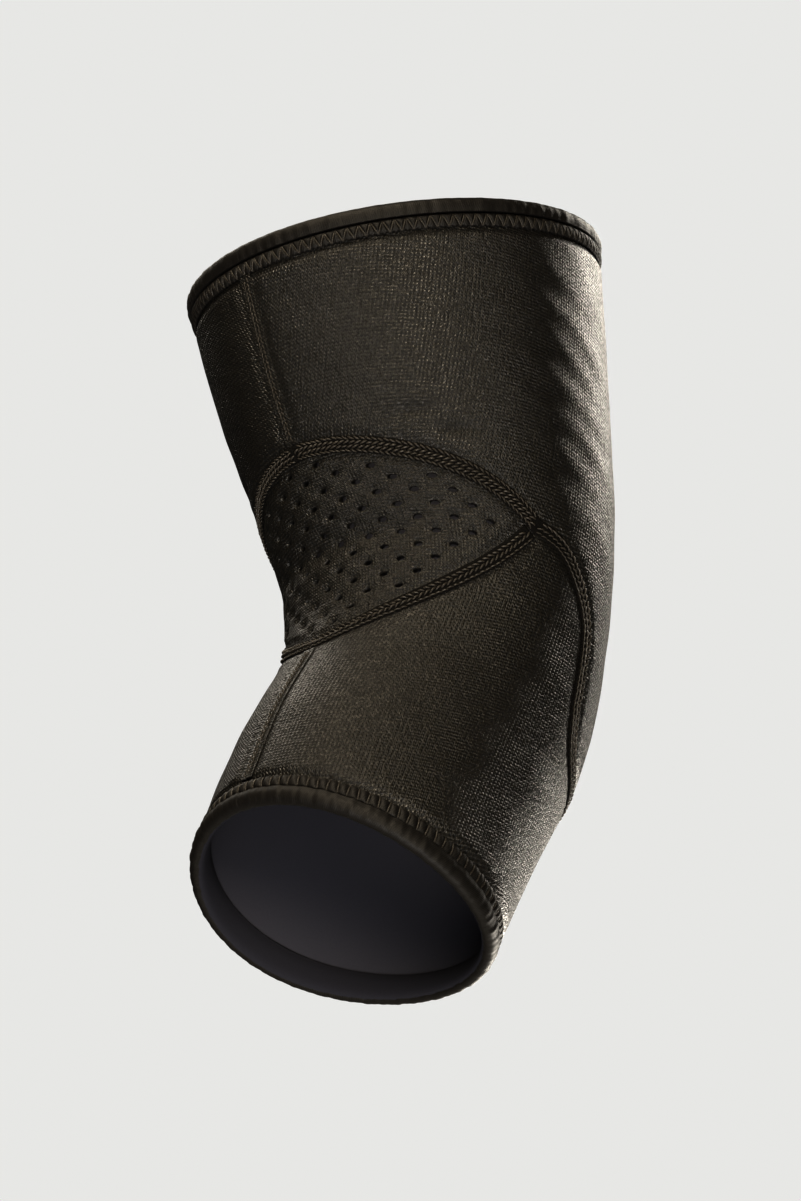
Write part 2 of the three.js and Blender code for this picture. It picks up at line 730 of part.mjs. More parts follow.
const brace = new THREE.Group();
brace.add(
  mesh("upper_arm_panel", wrapPanel(elbowLine, 1, UPPER_ROWS), knit),
  mesh("forearm_panel", wrapPanel(forearmLine, -1, FOREARM_ROWS), knit),
  mesh("crook_panel", crookPanel(), meshKnit),
  mesh("elbow_seam", elbowSeam(), thread),
  mesh("crook_lower_seam", crookLowerSeam(), thread),
  mesh("upper_front_seam", upperFrontSeam(), thread),
  mesh("forearm_front_seam", forearmFrontSeam(), thread),
  mesh("top_hem", hem(1), binding),
  mesh("top_hem_stitching", hemStitching(1), thread),
  mesh("bottom_hem", hem(-1), binding),
  mesh("bottom_hem_stitching", hemStitching(-1), thread),
);

export default brace;
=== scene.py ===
"""An elbow brace of foam-backed knit, dressed for a studio shot.

Every piece is computed on the skin of one bent sleeve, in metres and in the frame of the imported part:
+Z runs up the upper arm, the forearm bends forward towards -Y, and X is across the arm.
A place on the sleeve is (turn round the arm from its front in radians, height above the elbow).
"""

import logging
import math
from dataclasses import dataclass, field
from enum import Enum

import bpy
import numpy as np
from mathutils import Matrix, Vector


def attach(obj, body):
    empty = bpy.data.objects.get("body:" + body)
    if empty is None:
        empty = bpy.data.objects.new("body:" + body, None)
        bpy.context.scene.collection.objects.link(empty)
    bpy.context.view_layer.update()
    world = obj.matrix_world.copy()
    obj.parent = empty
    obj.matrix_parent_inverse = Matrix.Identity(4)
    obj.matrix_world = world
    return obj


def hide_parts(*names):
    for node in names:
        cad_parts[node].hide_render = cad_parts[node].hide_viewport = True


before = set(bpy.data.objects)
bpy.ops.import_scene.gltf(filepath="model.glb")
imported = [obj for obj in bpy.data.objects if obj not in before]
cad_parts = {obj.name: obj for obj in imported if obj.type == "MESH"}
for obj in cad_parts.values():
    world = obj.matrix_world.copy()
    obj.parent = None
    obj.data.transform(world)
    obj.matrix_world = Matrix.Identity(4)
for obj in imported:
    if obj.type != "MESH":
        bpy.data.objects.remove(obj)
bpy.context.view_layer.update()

LOG = logging.getLogger("elbow_brace")
MM = 0.001
Array = np.ndarray
Material, Socket = bpy.types.Material, bpy.types.NodeSocket
Triple = tuple[float, float, float]


def mix(a: float | Array, b: float | Array, t: float | Array) -> float | Array:
    """Returns the value at share t of the way from a to b."""
    return a + (b - a) * t


def smooth(t: float | Array) -> Array:
    """Returns a soft step from 0 to 1 as t goes from 0 to 1."""
    t = np.clip(t, 0.0, 1.0)
    return t * t * (3.0 - 2.0 * t)


def curve_through(xs: Array, ys: Array, x: Array) -> Array:
    """Reads a smooth curve at x.

    The curve is a cubic Hermite whose slope at a row is that of the line between its neighbours.

    Args:
        xs: where the rows stand, rising.
        ys: the rows' values.
        x: where to read.

    Returns:
        The curve's values, one for each x.
    """
    i = np.searchsorted(xs[1:-1], x, side="left")
    before, after = np.maximum(np.arange(len(xs)) - 1, 0), np.minimum(np.arange(len(xs)) + 1, len(xs) - 1)
    slope = (ys[after] - ys[before]) / (xs[after] - xs[before])
    span = xs[i + 1] - xs[i]
    t = np.clip((x - xs[i]) / span, 0.0, 1.0)
    rest = 1.0 - t
    return (ys[i] * rest * rest * (1 + 2 * t) + ys[i + 1] * t * t * (3 - 2 * t)
            + span * t * rest * (slope[i] * rest - slope[i + 1] * t))


def unit(v: Array) -> Array:
    """Returns the vectors at length one."""
    return v / np.linalg.norm(v, axis=-1, keepdims=True)


def bell(x: Array, middle: float | Array, reach: float) -> Array:
    """Returns a bell curve: 1 at its middle, fading out over its reach to both sides."""
    return np.exp(-((x - middle) / reach) ** 2)


def halves(a: Array, b: Array, c: Array, d: Array) -> Array:
    """Returns two triangles for each cell, whose corners in turn are a, b, c and d."""
    return np.concatenate([np.stack([a, b, c], -1).reshape(-1, 3), np.stack([a, c, d], -1).reshape(-1, 3)])


def lattice(index: Array) -> Array:
    """Returns the triangles of an open grid, given the numbers of its places."""
    return halves(index[:-1, :-1], index[1:, :-1], index[1:, 1:], index[:-1, 1:])


def girdle(here: Array, ahead: Array) -> Array:
    """Returns the triangles between closed rings and the rings ahead of them."""
    return halves(here, ahead, np.roll(ahead, -1, axis=-1), np.roll(here, -1, axis=-1))


def lid(rings: Array) -> Array:
    """Returns the triangles that close rings flat, as a fan from each ring's first place."""
    k = np.arange(rings.shape[-1] - 2)
    return rings[..., np.stack([0 * k, k + 1, k + 2], -1)].reshape(-1, 3)


def towards(azimuth: float, elevation: float) -> Vector:
    """Returns a direction from the object by its angle round from the front and its angle up."""
    level = math.cos(elevation)
    return Vector((math.sin(azimuth) * level, -math.cos(azimuth) * level, math.sin(elevation)))


class Rim(Enum):
    """An open edge of the sleeve: which way the arm runs to it."""

    TOP = 1
    BOTTOM = -1


@dataclass(frozen=True)
class Section:
    """Swell of the sleeve beyond a straight taper, as shares, at a share of the arm's length."""

    at: float
    side: float
    front: float
    back: float


@dataclass(frozen=True)
class EdgeCut:
    """How an open edge departs from a square cut, as shares of the arm's length."""

    rise: float
    lean: float
    peak: float


@dataclass(frozen=True)
class Fold:
    """A soft groove in the cloth.

    Attributes:
        round: its turn from the front, in degrees, alike on both sides.
        up: its height, as a share of the upper length.
        slant: how far it runs below level, in degrees.
        long: its length, as a share of the elbow's width, as are the next two.
        wide: its width.
        deep: its depth.
    """

    round: float
    up: float
    slant: float
    long: float
    wide: float
    deep: float


@dataclass
class SleeveForm:
    """The bent sleeve that all pieces lie on.

    Attributes:
        upper_length: length of the arm's part above the elbow, and forearm_length of the part below.
        bend_length: the stretch over which the arm bends.
        flexion: angle of the bend.
        widths: widths at the top, the elbow and the bottom, and depths the same from front to back.
        wall: thickness of the cloth.
        sections: swell along the arm.
        top_cut: how the top edge departs from a square cut, and bottom_cut the bottom edge.
    """

    upper_length: float = 0.108
    forearm_length: float = 0.1036
    bend_length: float = 0.095
    flexion: float = math.radians(40.0)
    widths: Triple = (0.1234, 0.094, 0.092)
    depths: Triple = (0.1213, 0.092, 0.083)
    wall: float = 0.003
    sections: tuple[Section, ...] = (
        Section(-1.0, 0.0, 0.007, -0.005),
        Section(-0.66, -0.04, 0.016, 0.02),
        Section(-0.33, -0.036, -0.065, 0.061),
        Section(0.0, 0.0, -0.006, 0.0),
        Section(0.33, 0.0, 0.001, -0.005),
        Section(0.66, 0.012, 0.026, -0.007),
        Section(1.0, 0.0, -0.007, 0.007),
    )
    top_cut: EdgeCut = EdgeCut(0.010, -0.021, 0.004)
    bottom_cut: EdgeCut = EdgeCut(0.008, -0.016, 0.017)

    def __post_init__(self) -> None:
        """Adds up the arm's middle line once, in fine steps along its turning direction."""
        self.heights = np.linspace(-0.13, 0.13, 5201)
        step = self.heights[1] - self.heights[0]
        angle = self.turn(self.heights[:-1] + step / 2)
        y = np.concatenate([[0.0], np.cumsum(np.sin(angle) * step)])
        z = np.concatenate([[0.0], np.cumsum(np.cos(angle) * step)])
        middle = len(self.heights) // 2
        self.centre_y, self.centre_z = y - y[middle], z - z[middle]
        self.stations = np.array([row.at for row in self.sections])

    def arm_length(self, up: Array) -> Array:
        """Returns the length of the arm's part that each height is on."""
        return np.where(np.asarray(up) > 0, self.upper_length, self.forearm_length)

    def turn(self, up: Array) -> Array:
        """Returns how far the arm leans forward: none up the upper arm, all down the forearm."""
        return self.flexion * smooth(0.5 - np.asarray(up) / self.bend_length)

    def half_size(self, sizes: Triple, swell: str, up: Array) -> Array:
        """Returns a half size of the sleeve at some heights.

        Args:
            sizes: the full size at the top, the elbow and the bottom.
            swell: the column of the sections that goes with it.
            up: the heights.

        Returns:
            One half size for each height.
        """
        top, elbow, bottom = sizes
        at = self.stations
        tapered = mix(elbow, np.where(at > 0, top, bottom), np.abs(at)) / 2
        rows = tapered * (1 + np.array([getattr(row, swell) for row in self.sections]))
        return curve_through(at, rows, np.asarray(up) / self.arm_length(up))

    def depth_at(self, round: Array, up: Array) -> Array:
        """Finds the half depth of the sleeve at some places.

        Args:
            round: turns round the arm.
            up: heights.

        Returns:
            The front's half depth where a place is in front, else the back's.
        """
        front = self.half_size(self.depths, "front", up)
        back = self.half_size(self.depths, "back", up)
        return np.where(np.cos(round) > 0, front, back)

    def point(self, round: Array, up: Array) -> Array:
        """Finds points of the smooth sleeve.

        Across the arm it is an ellipse whose front and back halves differ in depth. The open edges depart
        from a square cut by a cosine, a sine and a cosine of twice the turn, which fade out with the
        square of the height.

        Args:
            round: turns round the arm.
            up: heights.

        Returns:
            The points.
        """
        share = up / self.arm_length(up)
        cut = [np.where(np.asarray(up) > 0, getattr(self.top_cut, key), getattr(self.bottom_cut, key))
               for key in ("rise", "lean", "peak")]
        shift = cut[0] * np.cos(round) + cut[1] * np.sin(round) + cut[2] * np.cos(2 * round)
        height = up + shift * self.arm_length(up) * share * share
        forward = self.depth_at(round, up) * np.cos(round)
        angle = self.turn(height)
        return np.stack([
            self.half_size(self.widths, "side", up) * np.sin(round),
            np.interp(height, self.heights, self.centre_y) - forward * np.cos(angle),
            np.interp(height, self.heights, self.centre_z) + forward * np.sin(angle)], axis=-1)

    def normal(self, round: Array, up: Array) -> Array:
        """Finds the outward direction: across the skin times along it, both from small steps.

        Args:
            round: turns round the arm.
            up: heights.

        Returns:
            Directions of length one.
        """
        turn_step, up_step = 0.004, 0.0002
        across = self.point(round + turn_step, up) - self.point(round - turn_step, up)
        along = self.point(round, up + up_step) - self.point(round, up - up_step)
        return unit(np.cross(across, along))

    def skin(self, round: Array, up: Array, out: float | Array) -> Array:
        """Returns points that stand out from the smooth sleeve by a distance."""
        return self.point(round, up) + self.normal(round, up) * np.asarray(out)[..., None]

    def radius(self, up: Array) -> Array:
        """Returns the mean radius of the sleeve at each height."""
        return (2 * self.half_size(self.widths, "side", up) + self.half_size(self.depths, "front", up)
                + self.half_size(self.depths, "back", up)) / 4

    def flat(self, round: Array, up: Array) -> Array:
        """Lays places flat, as the cloth is cut.

        The bend shortens the crook and lengthens the back: y loses the depth times the angle turned.

        Args:
            round: turns round the arm.
            up: heights.

        Returns:
            x round the arm and y along it, from the middle of the crook.
        """
        bent = self.turn(np.zeros(1))[0] - self.turn(up)
        front, back = (self.half_size(self.depths, key, np.zeros(1))[0] for key in ("front", "back"))
        depth = np.where(np.cos(round) > 0, front, back)
        return np.stack([round * self.radius(up), up - depth * np.cos(round) * bent], axis=-1)

    def height_at(self, round: Array, y: Array, low: float, high: float) -> Array:
        """Finds the height whose flat y is given, by halving the range between two heights.

        Args:
            round: turns round the arm.
            y: flat places along the arm.
            low: a height below them all.
            high: a height above them all.

        Returns:
            The heights.
        """
        a, b = np.full_like(round, low), np.full_like(round, high)
        for _ in range(30):
            middle = (a + b) / 2
            below = self.flat(round, middle)[..., 1] < y
            a, b = np.where(below, middle, a), np.where(below, b, middle)
        return (a + b) / 2


@dataclass(frozen=True)
class Row:
    """A row of loops on a seam.

    Attributes:
        middle: its place across the seam.
        shift: how far a loop moves across the seam.
        phase: its shift along the seam, as a share of the pitch.
        thread: radius of its thread.
    """

    middle: float
    shift: float
    phase: float
    thread: float


@dataclass(frozen=True)
class Sewing:
    """How a seam is sewn.

    Attributes:
        valley: depth of the valley that the seam lies in.
        crest: height of its band's crest over the smooth sleeve.
        pitch: distance between the loops of a row.
        long: how far a loop reaches along the seam.
        rows: the rows of loops across the seam.
    """

    valley: float
    crest: float
    pitch: float
    long: float
    rows: tuple[Row, ...]


class Braid(Enum):
    """The ways in which the brace's seams are sewn."""

    CROOK_EDGE = Sewing(0.0006, 0.0, 0.0017, 0.0019, (
        Row(-0.0018, -0.0007, 0.0, 0.00024), Row(-0.0007, 0.0010, 0.3, 0.00028),
        Row(0.0005, 0.0010, 0.7, 0.00028), Row(0.0017, -0.0007, 0.5, 0.00024)))
    CROOK_FOOT = Sewing(0.0006, -0.0002, 0.0017, 0.0019, (
        Row(-0.0018, -0.0003, 0.0, 0.00022), Row(-0.0003, 0.0009, 0.3, 0.00027),
        Row(0.0010, -0.0009, 0.6, 0.00027)))
    TONGUE = Sewing(0.0006, -0.0001, 0.0018, 0.0021, (
        Row(-0.0018, 0.0002, 0.0, 0.0002), Row(-0.0003, 0.0007, 0.0, 0.00026),
        Row(0.0013, -0.0007, 0.5, 0.00026)))
    FRONT = Sewing(0.0004, -0.00015, 0.0015, 0.0016, (
        Row(-0.0008, 0.0005, 0.0, 0.00021), Row(0.0004, -0.0005, 0.5, 0.00021)))


@dataclass
class SeamPlan:
    """Where the seams run, as heights above the elbow by the turn round the arm.

    Attributes:
        form: the sleeve.
        reach: turn from the front to the crook panel's tips.
        crook_top: height of the panel's upper edge at the front, and crook_bottom of its lower edge.
        tip: height of its tips.
        upper_fullness: how full its upper edge's curve is, and lower_fullness its lower edge's.
        tongue_drop: how far below the elbow the tongue ends.
        tongue_round: the tongue's side, as shares of the turn from the tip to the middle of the back.
        tongue_fall: the same rows' shares of the way down.
        width: width of a seam's band.
        valley: depth of the valley under a hem's stitching.
        shoulder: width of a valley's shoulder.
        lay_gap: gap between cloth and what lies on it, and joint_gap between two panels.
        batch: how many places are measured at a time, to spare memory.
    """

    form: SleeveForm
    reach: float = math.radians(78.0)
    crook_top: float = 0.0475
    crook_bottom: float = -0.0405
    tip: float = 0.011
    upper_fullness: float = 1.85
    lower_fullness: float = 1.6
    tongue_drop: float = 0.041
    tongue_round: tuple[float, ...] = (0.0, 0.12, 0.23, 0.305, 0.335, 0.37, 0.46, 0.66, 1.0)
    tongue_fall: tuple[float, ...] = (0.0, 0.08, 0.24, 0.4, 0.6, 0.8, 0.95, 1.0, 1.0)
    width: float = 0.0048
    valley: float = 0.0012
    shoulder: float = 0.0028
    lay_gap: float = 0.0003
    joint_gap: float = 0.0003
    batch: int = 8000

    def __post_init__(self) -> None:
        """Samples the lines once, from the front of the arm to the middle of its back."""
        crook = np.linspace(0.0, 1.0, 61)
        tongue = self.tongue_line(81)
        self.elbow = np.concatenate([self.crook_edge(crook, Rim.TOP), tongue[1:]])
        self.forearm = np.concatenate([self.crook_edge(crook, Rim.BOTTOM), tongue[1:]])
        self.crook_low = self.crook_edge(crook, Rim.BOTTOM)
        steps = np.linspace(0.0, 1.0, 31)
        upper = mix(self.crook_top, self.form.upper_length, steps)
        lower = mix(self.crook_bottom, -self.form.forearm_length, steps)
        self.upper_front = np.stack([0 * steps, upper], axis=-1)
        self.forearm_front = np.stack([0 * steps, lower], axis=-1)

    @property
    def clearance(self) -> float:
        """Room between a panel's cut edge and the line of its seam."""
        return 1.5 * self.joint_gap

    def crook_edge(self, share: Array, rim: Rim) -> Array:
        """Finds places of the crook panel's edge, a power curve from its middle to its tip.

        Args:
            share: shares of the panel's reach.
            rim: its upper or lower edge.

        Returns:
            Rows of turn and height.
        """
        end, full = ((self.crook_top, self.upper_fullness) if rim is Rim.TOP
                     else (self.crook_bottom, self.lower_fullness))
        return np.stack([self.reach * share, mix(self.tip, end, 1 - share ** full)], axis=-1)

    def tongue_line(self, count: int) -> Array:
        """Finds places of the tongue's side, a Catmull-Rom curve through its rows.

        Args:
            count: how many places.

        Returns:
            Rows of turn and height.
        """
        rows = np.stack([self.tongue_round, self.tongue_fall], axis=-1)
        t = np.linspace(0, len(rows) - 1, count)
        i = np.minimum(t.astype(int), len(rows) - 2)
        w = (t - i)[:, None]
        p = [rows[np.clip(i + k, 0, len(rows) - 1)] for k in (-1, 0, 1, 2)]
        a, b = (p[2] - p[0]) / 2, (p[3] - p[1]) / 2
        curve = ((2 * p[1] - 2 * p[2] + a + b) * w ** 3 + (3 * p[2] - 3 * p[1] - 2 * a - b) * w ** 2
                 + a * w + p[1])
        return np.stack([mix(self.reach, math.pi, curve[:, 0]),
                         mix(self.tip, -self.tongue_drop, curve[:, 1])], axis=-1)

    def height(self, line: Array, round: Array) -> Array:
        """Returns a seam's height at each turn round the arm, alike on both sides."""
        return np.interp(self.from_front(round), line[:, 0], line[:, 1])

    @staticmethod
    def from_front(round: Array) -> Array:
        """Returns the angle from the front of the arm, alike on both of its sides."""
        return np.abs(np.arctan2(np.sin(round), np.cos(round)))

    def nearest(self, lines: list[Array], round: Array, up: Array) -> tuple[Array, Array]:
        """Measures from places to the nearest of some seams over the flat skin.

        Args:
            lines: the seams, as rows of places.
            round: the places' turns round the arm.
            up: their heights.

        Returns:
            The distance to the nearest seam, and how far along that seam its nearest point is.
        """
        at = self.form.flat(self.from_front(round), up)
        best, along = np.full(len(at), np.inf), np.zeros(len(at))
        for line in lines:
            dots = self.form.flat(line[:, 0], line[:, 1])
            start, side = dots[:-1], np.diff(dots, axis=0)
            length = np.linalg.norm(side, axis=1)
            before = np.concatenate([[0.0], np.cumsum(length)[:-1]])
            for part in np.array_split(np.arange(len(at)), max(1, len(at) // self.batch)):
                rel = at[part][:, None, :] - start[None]
                t = np.clip(np.einsum("pks,ks->pk", rel, side) / length ** 2, 0, 1)
                gap = np.linalg.norm(rel - t[..., None] * side[None], axis=-1)
                k = gap.argmin(axis=1)
                rows = np.arange(len(part))
                closer = gap[rows, k] < best[part]
                best[part] = np.where(closer, gap[rows, k], best[part])
                along[part] = np.where(closer, before[k] + t[rows, k] * length[k], along[part])
        return best, along


@dataclass
class Net:
    """A net of triangles over the skin, each place with its turn round the arm and its height."""

    round: Array
    up: Array
    faces: Array

    def welded(self) -> "Net":
        """Joins places that coincide, and drops triangles that have closed up."""
        per_metre = 20.0  # a metre round the sleeve is about 20 radians, so both are rounded alike
        key = np.round(np.stack([self.round, self.up * per_metre], axis=-1), 6)
        _, first, back = np.unique(key, axis=0, return_index=True, return_inverse=True)
        faces = back.reshape(-1)[self.faces]
        open_face = ((faces[:, 0] != faces[:, 1]) & (faces[:, 1] != faces[:, 2])
                     & (faces[:, 2] != faces[:, 0]))
        return Net(self.round[first], self.up[first], faces[open_face])

    def trimmed(self, low: Array, high: Array) -> "Net":
        """Cuts the net to the heights between two edges.

        A triangle with no corner inside goes, and a corner outside slides along the arm to the edge.

        Args:
            low: the lower edge's height at each place.
            high: the upper edge's height at each place.

        Returns:
            The part of the net that is left.
        """
        inside = (self.up > low) & (self.up < high)
        faces = self.faces[inside[self.faces].any(axis=1)]
        net = Net(self.round, np.clip(self.up, low, high), faces).welded()
        used = np.unique(net.faces)
        renamed = np.full(len(net.round), -1)
        renamed[used] = np.arange(len(used))
        return Net(net.round[used], net.up[used], renamed[net.faces])

    @staticmethod
    def grid(rounds: Array, ups: Array) -> "Net":
        """Returns a net with a place at each crossing of some turns and some heights."""
        r, u = np.meshgrid(rounds, ups, indexing="ij")
        return Net(r.ravel(), u.ravel(), lattice(np.arange(r.size).reshape(r.shape)))


def edge_pairs(faces: Array) -> Array:
    """Finds the open edges of a net.

    Args:
        faces: its triangles.

    Returns:
        The edges, each as it runs in the triangle that it belongs to.
    """
    edges = np.concatenate([faces[:, [0, 1]], faces[:, [1, 2]], faces[:, [2, 0]]])
    count = int(faces.max()) + 1
    there, back = edges[:, 0] * count + edges[:, 1], edges[:, 1] * count + edges[:, 0]
    return edges[~np.isin(there, back)]


@dataclass
class Surface:
    """A mesh on its way to Blender; finish counts each face's material, where there are several."""

    points: Array
    faces: Array
    uv: Array
    finish: Array = field(default_factory=lambda: np.zeros(0, int))

    def to_object(self, name: str, materials: list[Material]) -> bpy.types.Object:
        """Makes a smooth-shaded Blender object.

        Args:
            name: the object's name.
            materials: its materials, in the order that finish counts them.

        Returns:
            The new object, at the origin.
        """
        mesh = bpy.data.meshes.new(name)
        size = self.faces.shape[1]
        mesh.vertices.add(len(self.points))
        mesh.vertices.foreach_set("co", self.points.astype(np.float32).ravel())
        mesh.loops.add(self.faces.size)
        mesh.loops.foreach_set("vertex_index", self.faces.astype(np.int32).ravel())
        mesh.polygons.add(len(self.faces))
        mesh.polygons.foreach_set("loop_start", np.arange(0, self.faces.size, size, dtype=np.int32))
        mesh.polygons.foreach_set("use_smooth", np.ones(len(self.faces), bool))
        layer = mesh.uv_layers.new(name="cut")
        layer.data.foreach_set("uv", self.uv[self.faces].astype(np.float32).ravel())
        for material in materials:
            mesh.materials.append(material)
        if len(self.finish):
            mesh.polygons.foreach_set("material_index", self.finish.astype(np.int32))
        mesh.update()
        mesh.validate()
        made = bpy.data.objects.new(name, mesh)
        bpy.context.scene.collection.objects.link(made)
        return made


def tubes(paths: Array, normals: Array, radius: Array, sides: int) -> Surface:
    """Carries a round section along many paths of the same count of points.

    The section's ring stands square to the path: one axis is the path's direction times the skin's
    normal, the other is square to both.

    Args:
        paths: points, as (tubes, points, 3).
        normals: the skin's normals at the points.
        radius: the tubes' radius at the points.
        sides: how many sides the section has.

    Returns:
        Closed tubes with flat ends, with u round them and v along them in millimetres.
    """
    many, count, _ = paths.shape
    along = unit(np.gradient(paths, axis=1))
    beside = unit(np.cross(along, normals))
    over = np.cross(beside, along)
    angle = np.linspace(0, 2 * np.pi, sides, endpoint=False)
    ring = (np.cos(angle)[:, None] * beside[:, :, None, :] + np.sin(angle)[:, None] * over[:, :, None, :])
    points = paths[:, :, None, :] + ring * radius[:, :, None, None]
    index = np.arange(many * count * sides).reshape(many, count, sides)
    ends = [lid(index[:, 0]), lid(index[:, -1])[:, ::-1]]
    faces = np.concatenate([girdle(index[:, :-1], index[:, 1:]), *ends])
    steps = np.linalg.norm(np.diff(paths, axis=1, prepend=paths[:, :1]), axis=-1).cumsum(axis=1)
    uv = np.stack(np.broadcast_arrays(angle[None, None, :] / (2 * np.pi), steps[:, :, None] / MM), -1)
    return Surface(points.reshape(-1, 3), faces, uv.reshape(-1, 2))


def ring_grid(points: Array, uv: Array, joined: bool) -> Surface:
    """Skins a row of closed sections.

    Args:
        points: the sections' points, as (sections, points, 3), each section running round the same way.
        uv: their places on the cut cloth.
        joined: whether the last section meets the first; else both ends are closed flat.

    Returns:
        A closed surface.
    """
    many, size, _ = points.shape
    index = np.arange(many * size).reshape(many, size)
    if joined:
        faces = girdle(index, np.roll(index, -1, axis=0))
    else:
        faces = np.concatenate([girdle(index[:-1], index[1:]), lid(index[0]), lid(index[-1])[:, ::-1]])
    return Surface(points.reshape(-1, 3), faces, uv.reshape(-1, 2))


@dataclass(frozen=True)
class Wave:
    """A slow wave of the cloth: its rates across and up, in radians a millimetre, and its phase."""

    across: float
    up: float
    phase: float


@dataclass
class Relief:
    """Height of the cloth's outer face over the smooth sleeve.

    Attributes:
        plan: where the seams run.
        fold_height: how far a hem's fold reaches over the cloth.
        stitch_width: width of a hem's row of stitches.
        crown: how proud the cloth stands beside a seam.
        crown_place: where it does, and crown_reach how widely, as shares of the valley's shoulder.
        pucker: depth of the puckers at the stitches, and pucker_pitch the distance between them.
        pucker_place: where they are, and pucker_reach how wide, as shares of the valley's shoulder.
        drift: height of the slow waves.
        waves: the slow waves.
        folds: the soft folds.
    """

    plan: SeamPlan
    fold_height: float = 0.0045
    stitch_width: float = 0.004
    crown: float = 0.0005
    crown_place: float = 1.2
    crown_reach: float = 0.8
    pucker: float = 0.00014
    pucker_pitch: float = 0.0031
    pucker_place: float = 0.7
    pucker_reach: float = 0.6
    drift: float = 0.0002
    waves: tuple[Wave, ...] = (
        Wave(0.11, 0.21, 0.3), Wave(-0.17, 0.13, 1.9), Wave(0.29, -0.08, 4.1), Wave(0.05, 0.37, 2.2),
        Wave(0.31, 0.27, 5.0))
    folds: tuple[Fold, ...] = (
        Fold(97, 0.73, 32, 0.22, 0.040, 0.004),
        Fold(98, 0.62, 32, 0.24, 0.040, 0.0045),
        Fold(98, 0.52, 30, 0.25, 0.040, 0.0045),
        Fold(99, 0.42, 28, 0.25, 0.040, 0.0045),
        Fold(100, 0.32, 26, 0.24, 0.040, 0.0045),
        Fold(100, 0.22, 24, 0.2, 0.040, 0.004),
        Fold(0, 0.08, 0, 0.32, 0.08, 0.022),
        Fold(41.5, 0.458, 4, 0.06, 0.018, 0.010),
        Fold(54.5, 0.389, 8, 0.06, 0.018, 0.010),
    )

    @property
    def cloth_edge(self) -> float:
        """Distance from an open edge to the cloth's own edge."""
        return self.fold_height + self.plan.lay_gap

    @property
    def stitching_end(self) -> float:
        """Distance from an open edge to the end of its stitching."""
        return self.cloth_edge + self.stitch_width

    @property
    def floor_half(self) -> float:
        """Half the width of the flat floor under a seam."""
        return self.plan.width / 2 + self.plan.lay_gap

    def fold_depth(self, round: Array, up: Array) -> Array:
        """Measures the soft folds: grooves that fade out as bells along and across.

        Args:
            round: turns round the arm.
            up: heights.

        Returns:
            How far they sink the cloth.
        """
        form, turned = self.plan.form, self.plan.from_front(round)
        elbow = form.widths[1]
        depth = np.zeros_like(up)
        for fold in self.folds:
            x = (turned - math.radians(fold.round)) * form.radius(up)
            y = up - fold.up * form.upper_length
            c, s = math.cos(math.radians(fold.slant)), math.sin(math.radians(fold.slant))
            along = (x * c - y * s) / (fold.long * elbow)
            across = (x * s + y * c) / (fold.wide * elbow)
            depth += fold.deep * elbow * np.exp(-along ** 2 - across ** 2)
        return depth

    def unevenness(self, round: Array, up: Array) -> Array:
        """Measures slow waves of the cloth: the mean of sines that run several ways.

        Args:
            round: turns round the arm.
            up: heights.

        Returns:
            How far they lift it.
        """
        x, y = self.plan.form.flat(round, up).T / MM
        total = sum(np.sin(wave.across * x + wave.up * y + wave.phase) for wave in self.waves)
        return total / len(self.waves) * self.drift

    def face(self, round: Array, up: Array) -> Array:
        """Returns the height of the cloth's outer face.

        The cloth drops into a valley under each seam and each hem's stitching, stands a little proud
        beside it, puckers at each stitch, and carries the folds and slow waves elsewhere.

        Args:
            round: turns round the arm.
            up: heights.

        Returns:
            Heights over the smooth sleeve.
        """
        plan = self.plan
        heavy, along = plan.nearest([plan.elbow, plan.crook_low], round, up)
        light, along_light = plan.nearest([plan.upper_front, plan.forearm_front], round, up)
        deep = self.valley_beside(heavy, along, Braid.TONGUE.value.valley)
        shallow = self.valley_beside(light, along_light, Braid.FRONT.value.valley)
        to_hem = (plan.form.arm_length(up) - np.abs(up) - self.stitching_end - plan.lay_gap) / plan.shoulder
        rise = smooth(np.minimum((np.minimum(heavy, light) - self.floor_half) / plan.shoulder, to_hem))
        seam = np.where(heavy < light, deep, shallow)
        crown = self.crown * bell(to_hem, self.crown_place, self.crown_reach)
        hem = crown - plan.valley * (1 - smooth(to_hem))
        return np.minimum(seam, hem) - self.fold_depth(round, up) * rise + self.unevenness(round, up) * rise

    def valley_beside(self, gap: Array, along: Array, depth: float) -> Array:
        """Returns the cloth's height beside a seam.

        It is a flat floor, a soft shoulder up to the sleeve, a low crown past it, and a pucker at each
        stitch: a sine along the seam that fades out away from it.

        Args:
            gap: distances from the seam's middle.
            along: distances along the seam.
            depth: the valley's depth.

        Returns:
            Heights over the smooth sleeve.
        """
        beside = (gap - self.floor_half) / self.plan.shoulder
        crown = bell(beside, self.crown_place, self.crown_reach) * self.crown * depth / self.plan.valley
        stitches = np.sin(2 * np.pi * along / self.pucker_pitch)
        pucker = stitches * bell(beside, self.pucker_place, self.pucker_reach)
        return crown + self.pucker * pucker - depth * (1 - smooth(beside))


@dataclass
class OnSleeve:
    """Something made on the sleeve, with short ways to the seams' plan and the sleeve's form."""

    relief: Relief

    @property
    def plan(self) -> SeamPlan:
        """Where the seams run."""
        return self.relief.plan

    @property
    def form(self) -> SleeveForm:
        """The bent sleeve."""
        return self.relief.plan.form


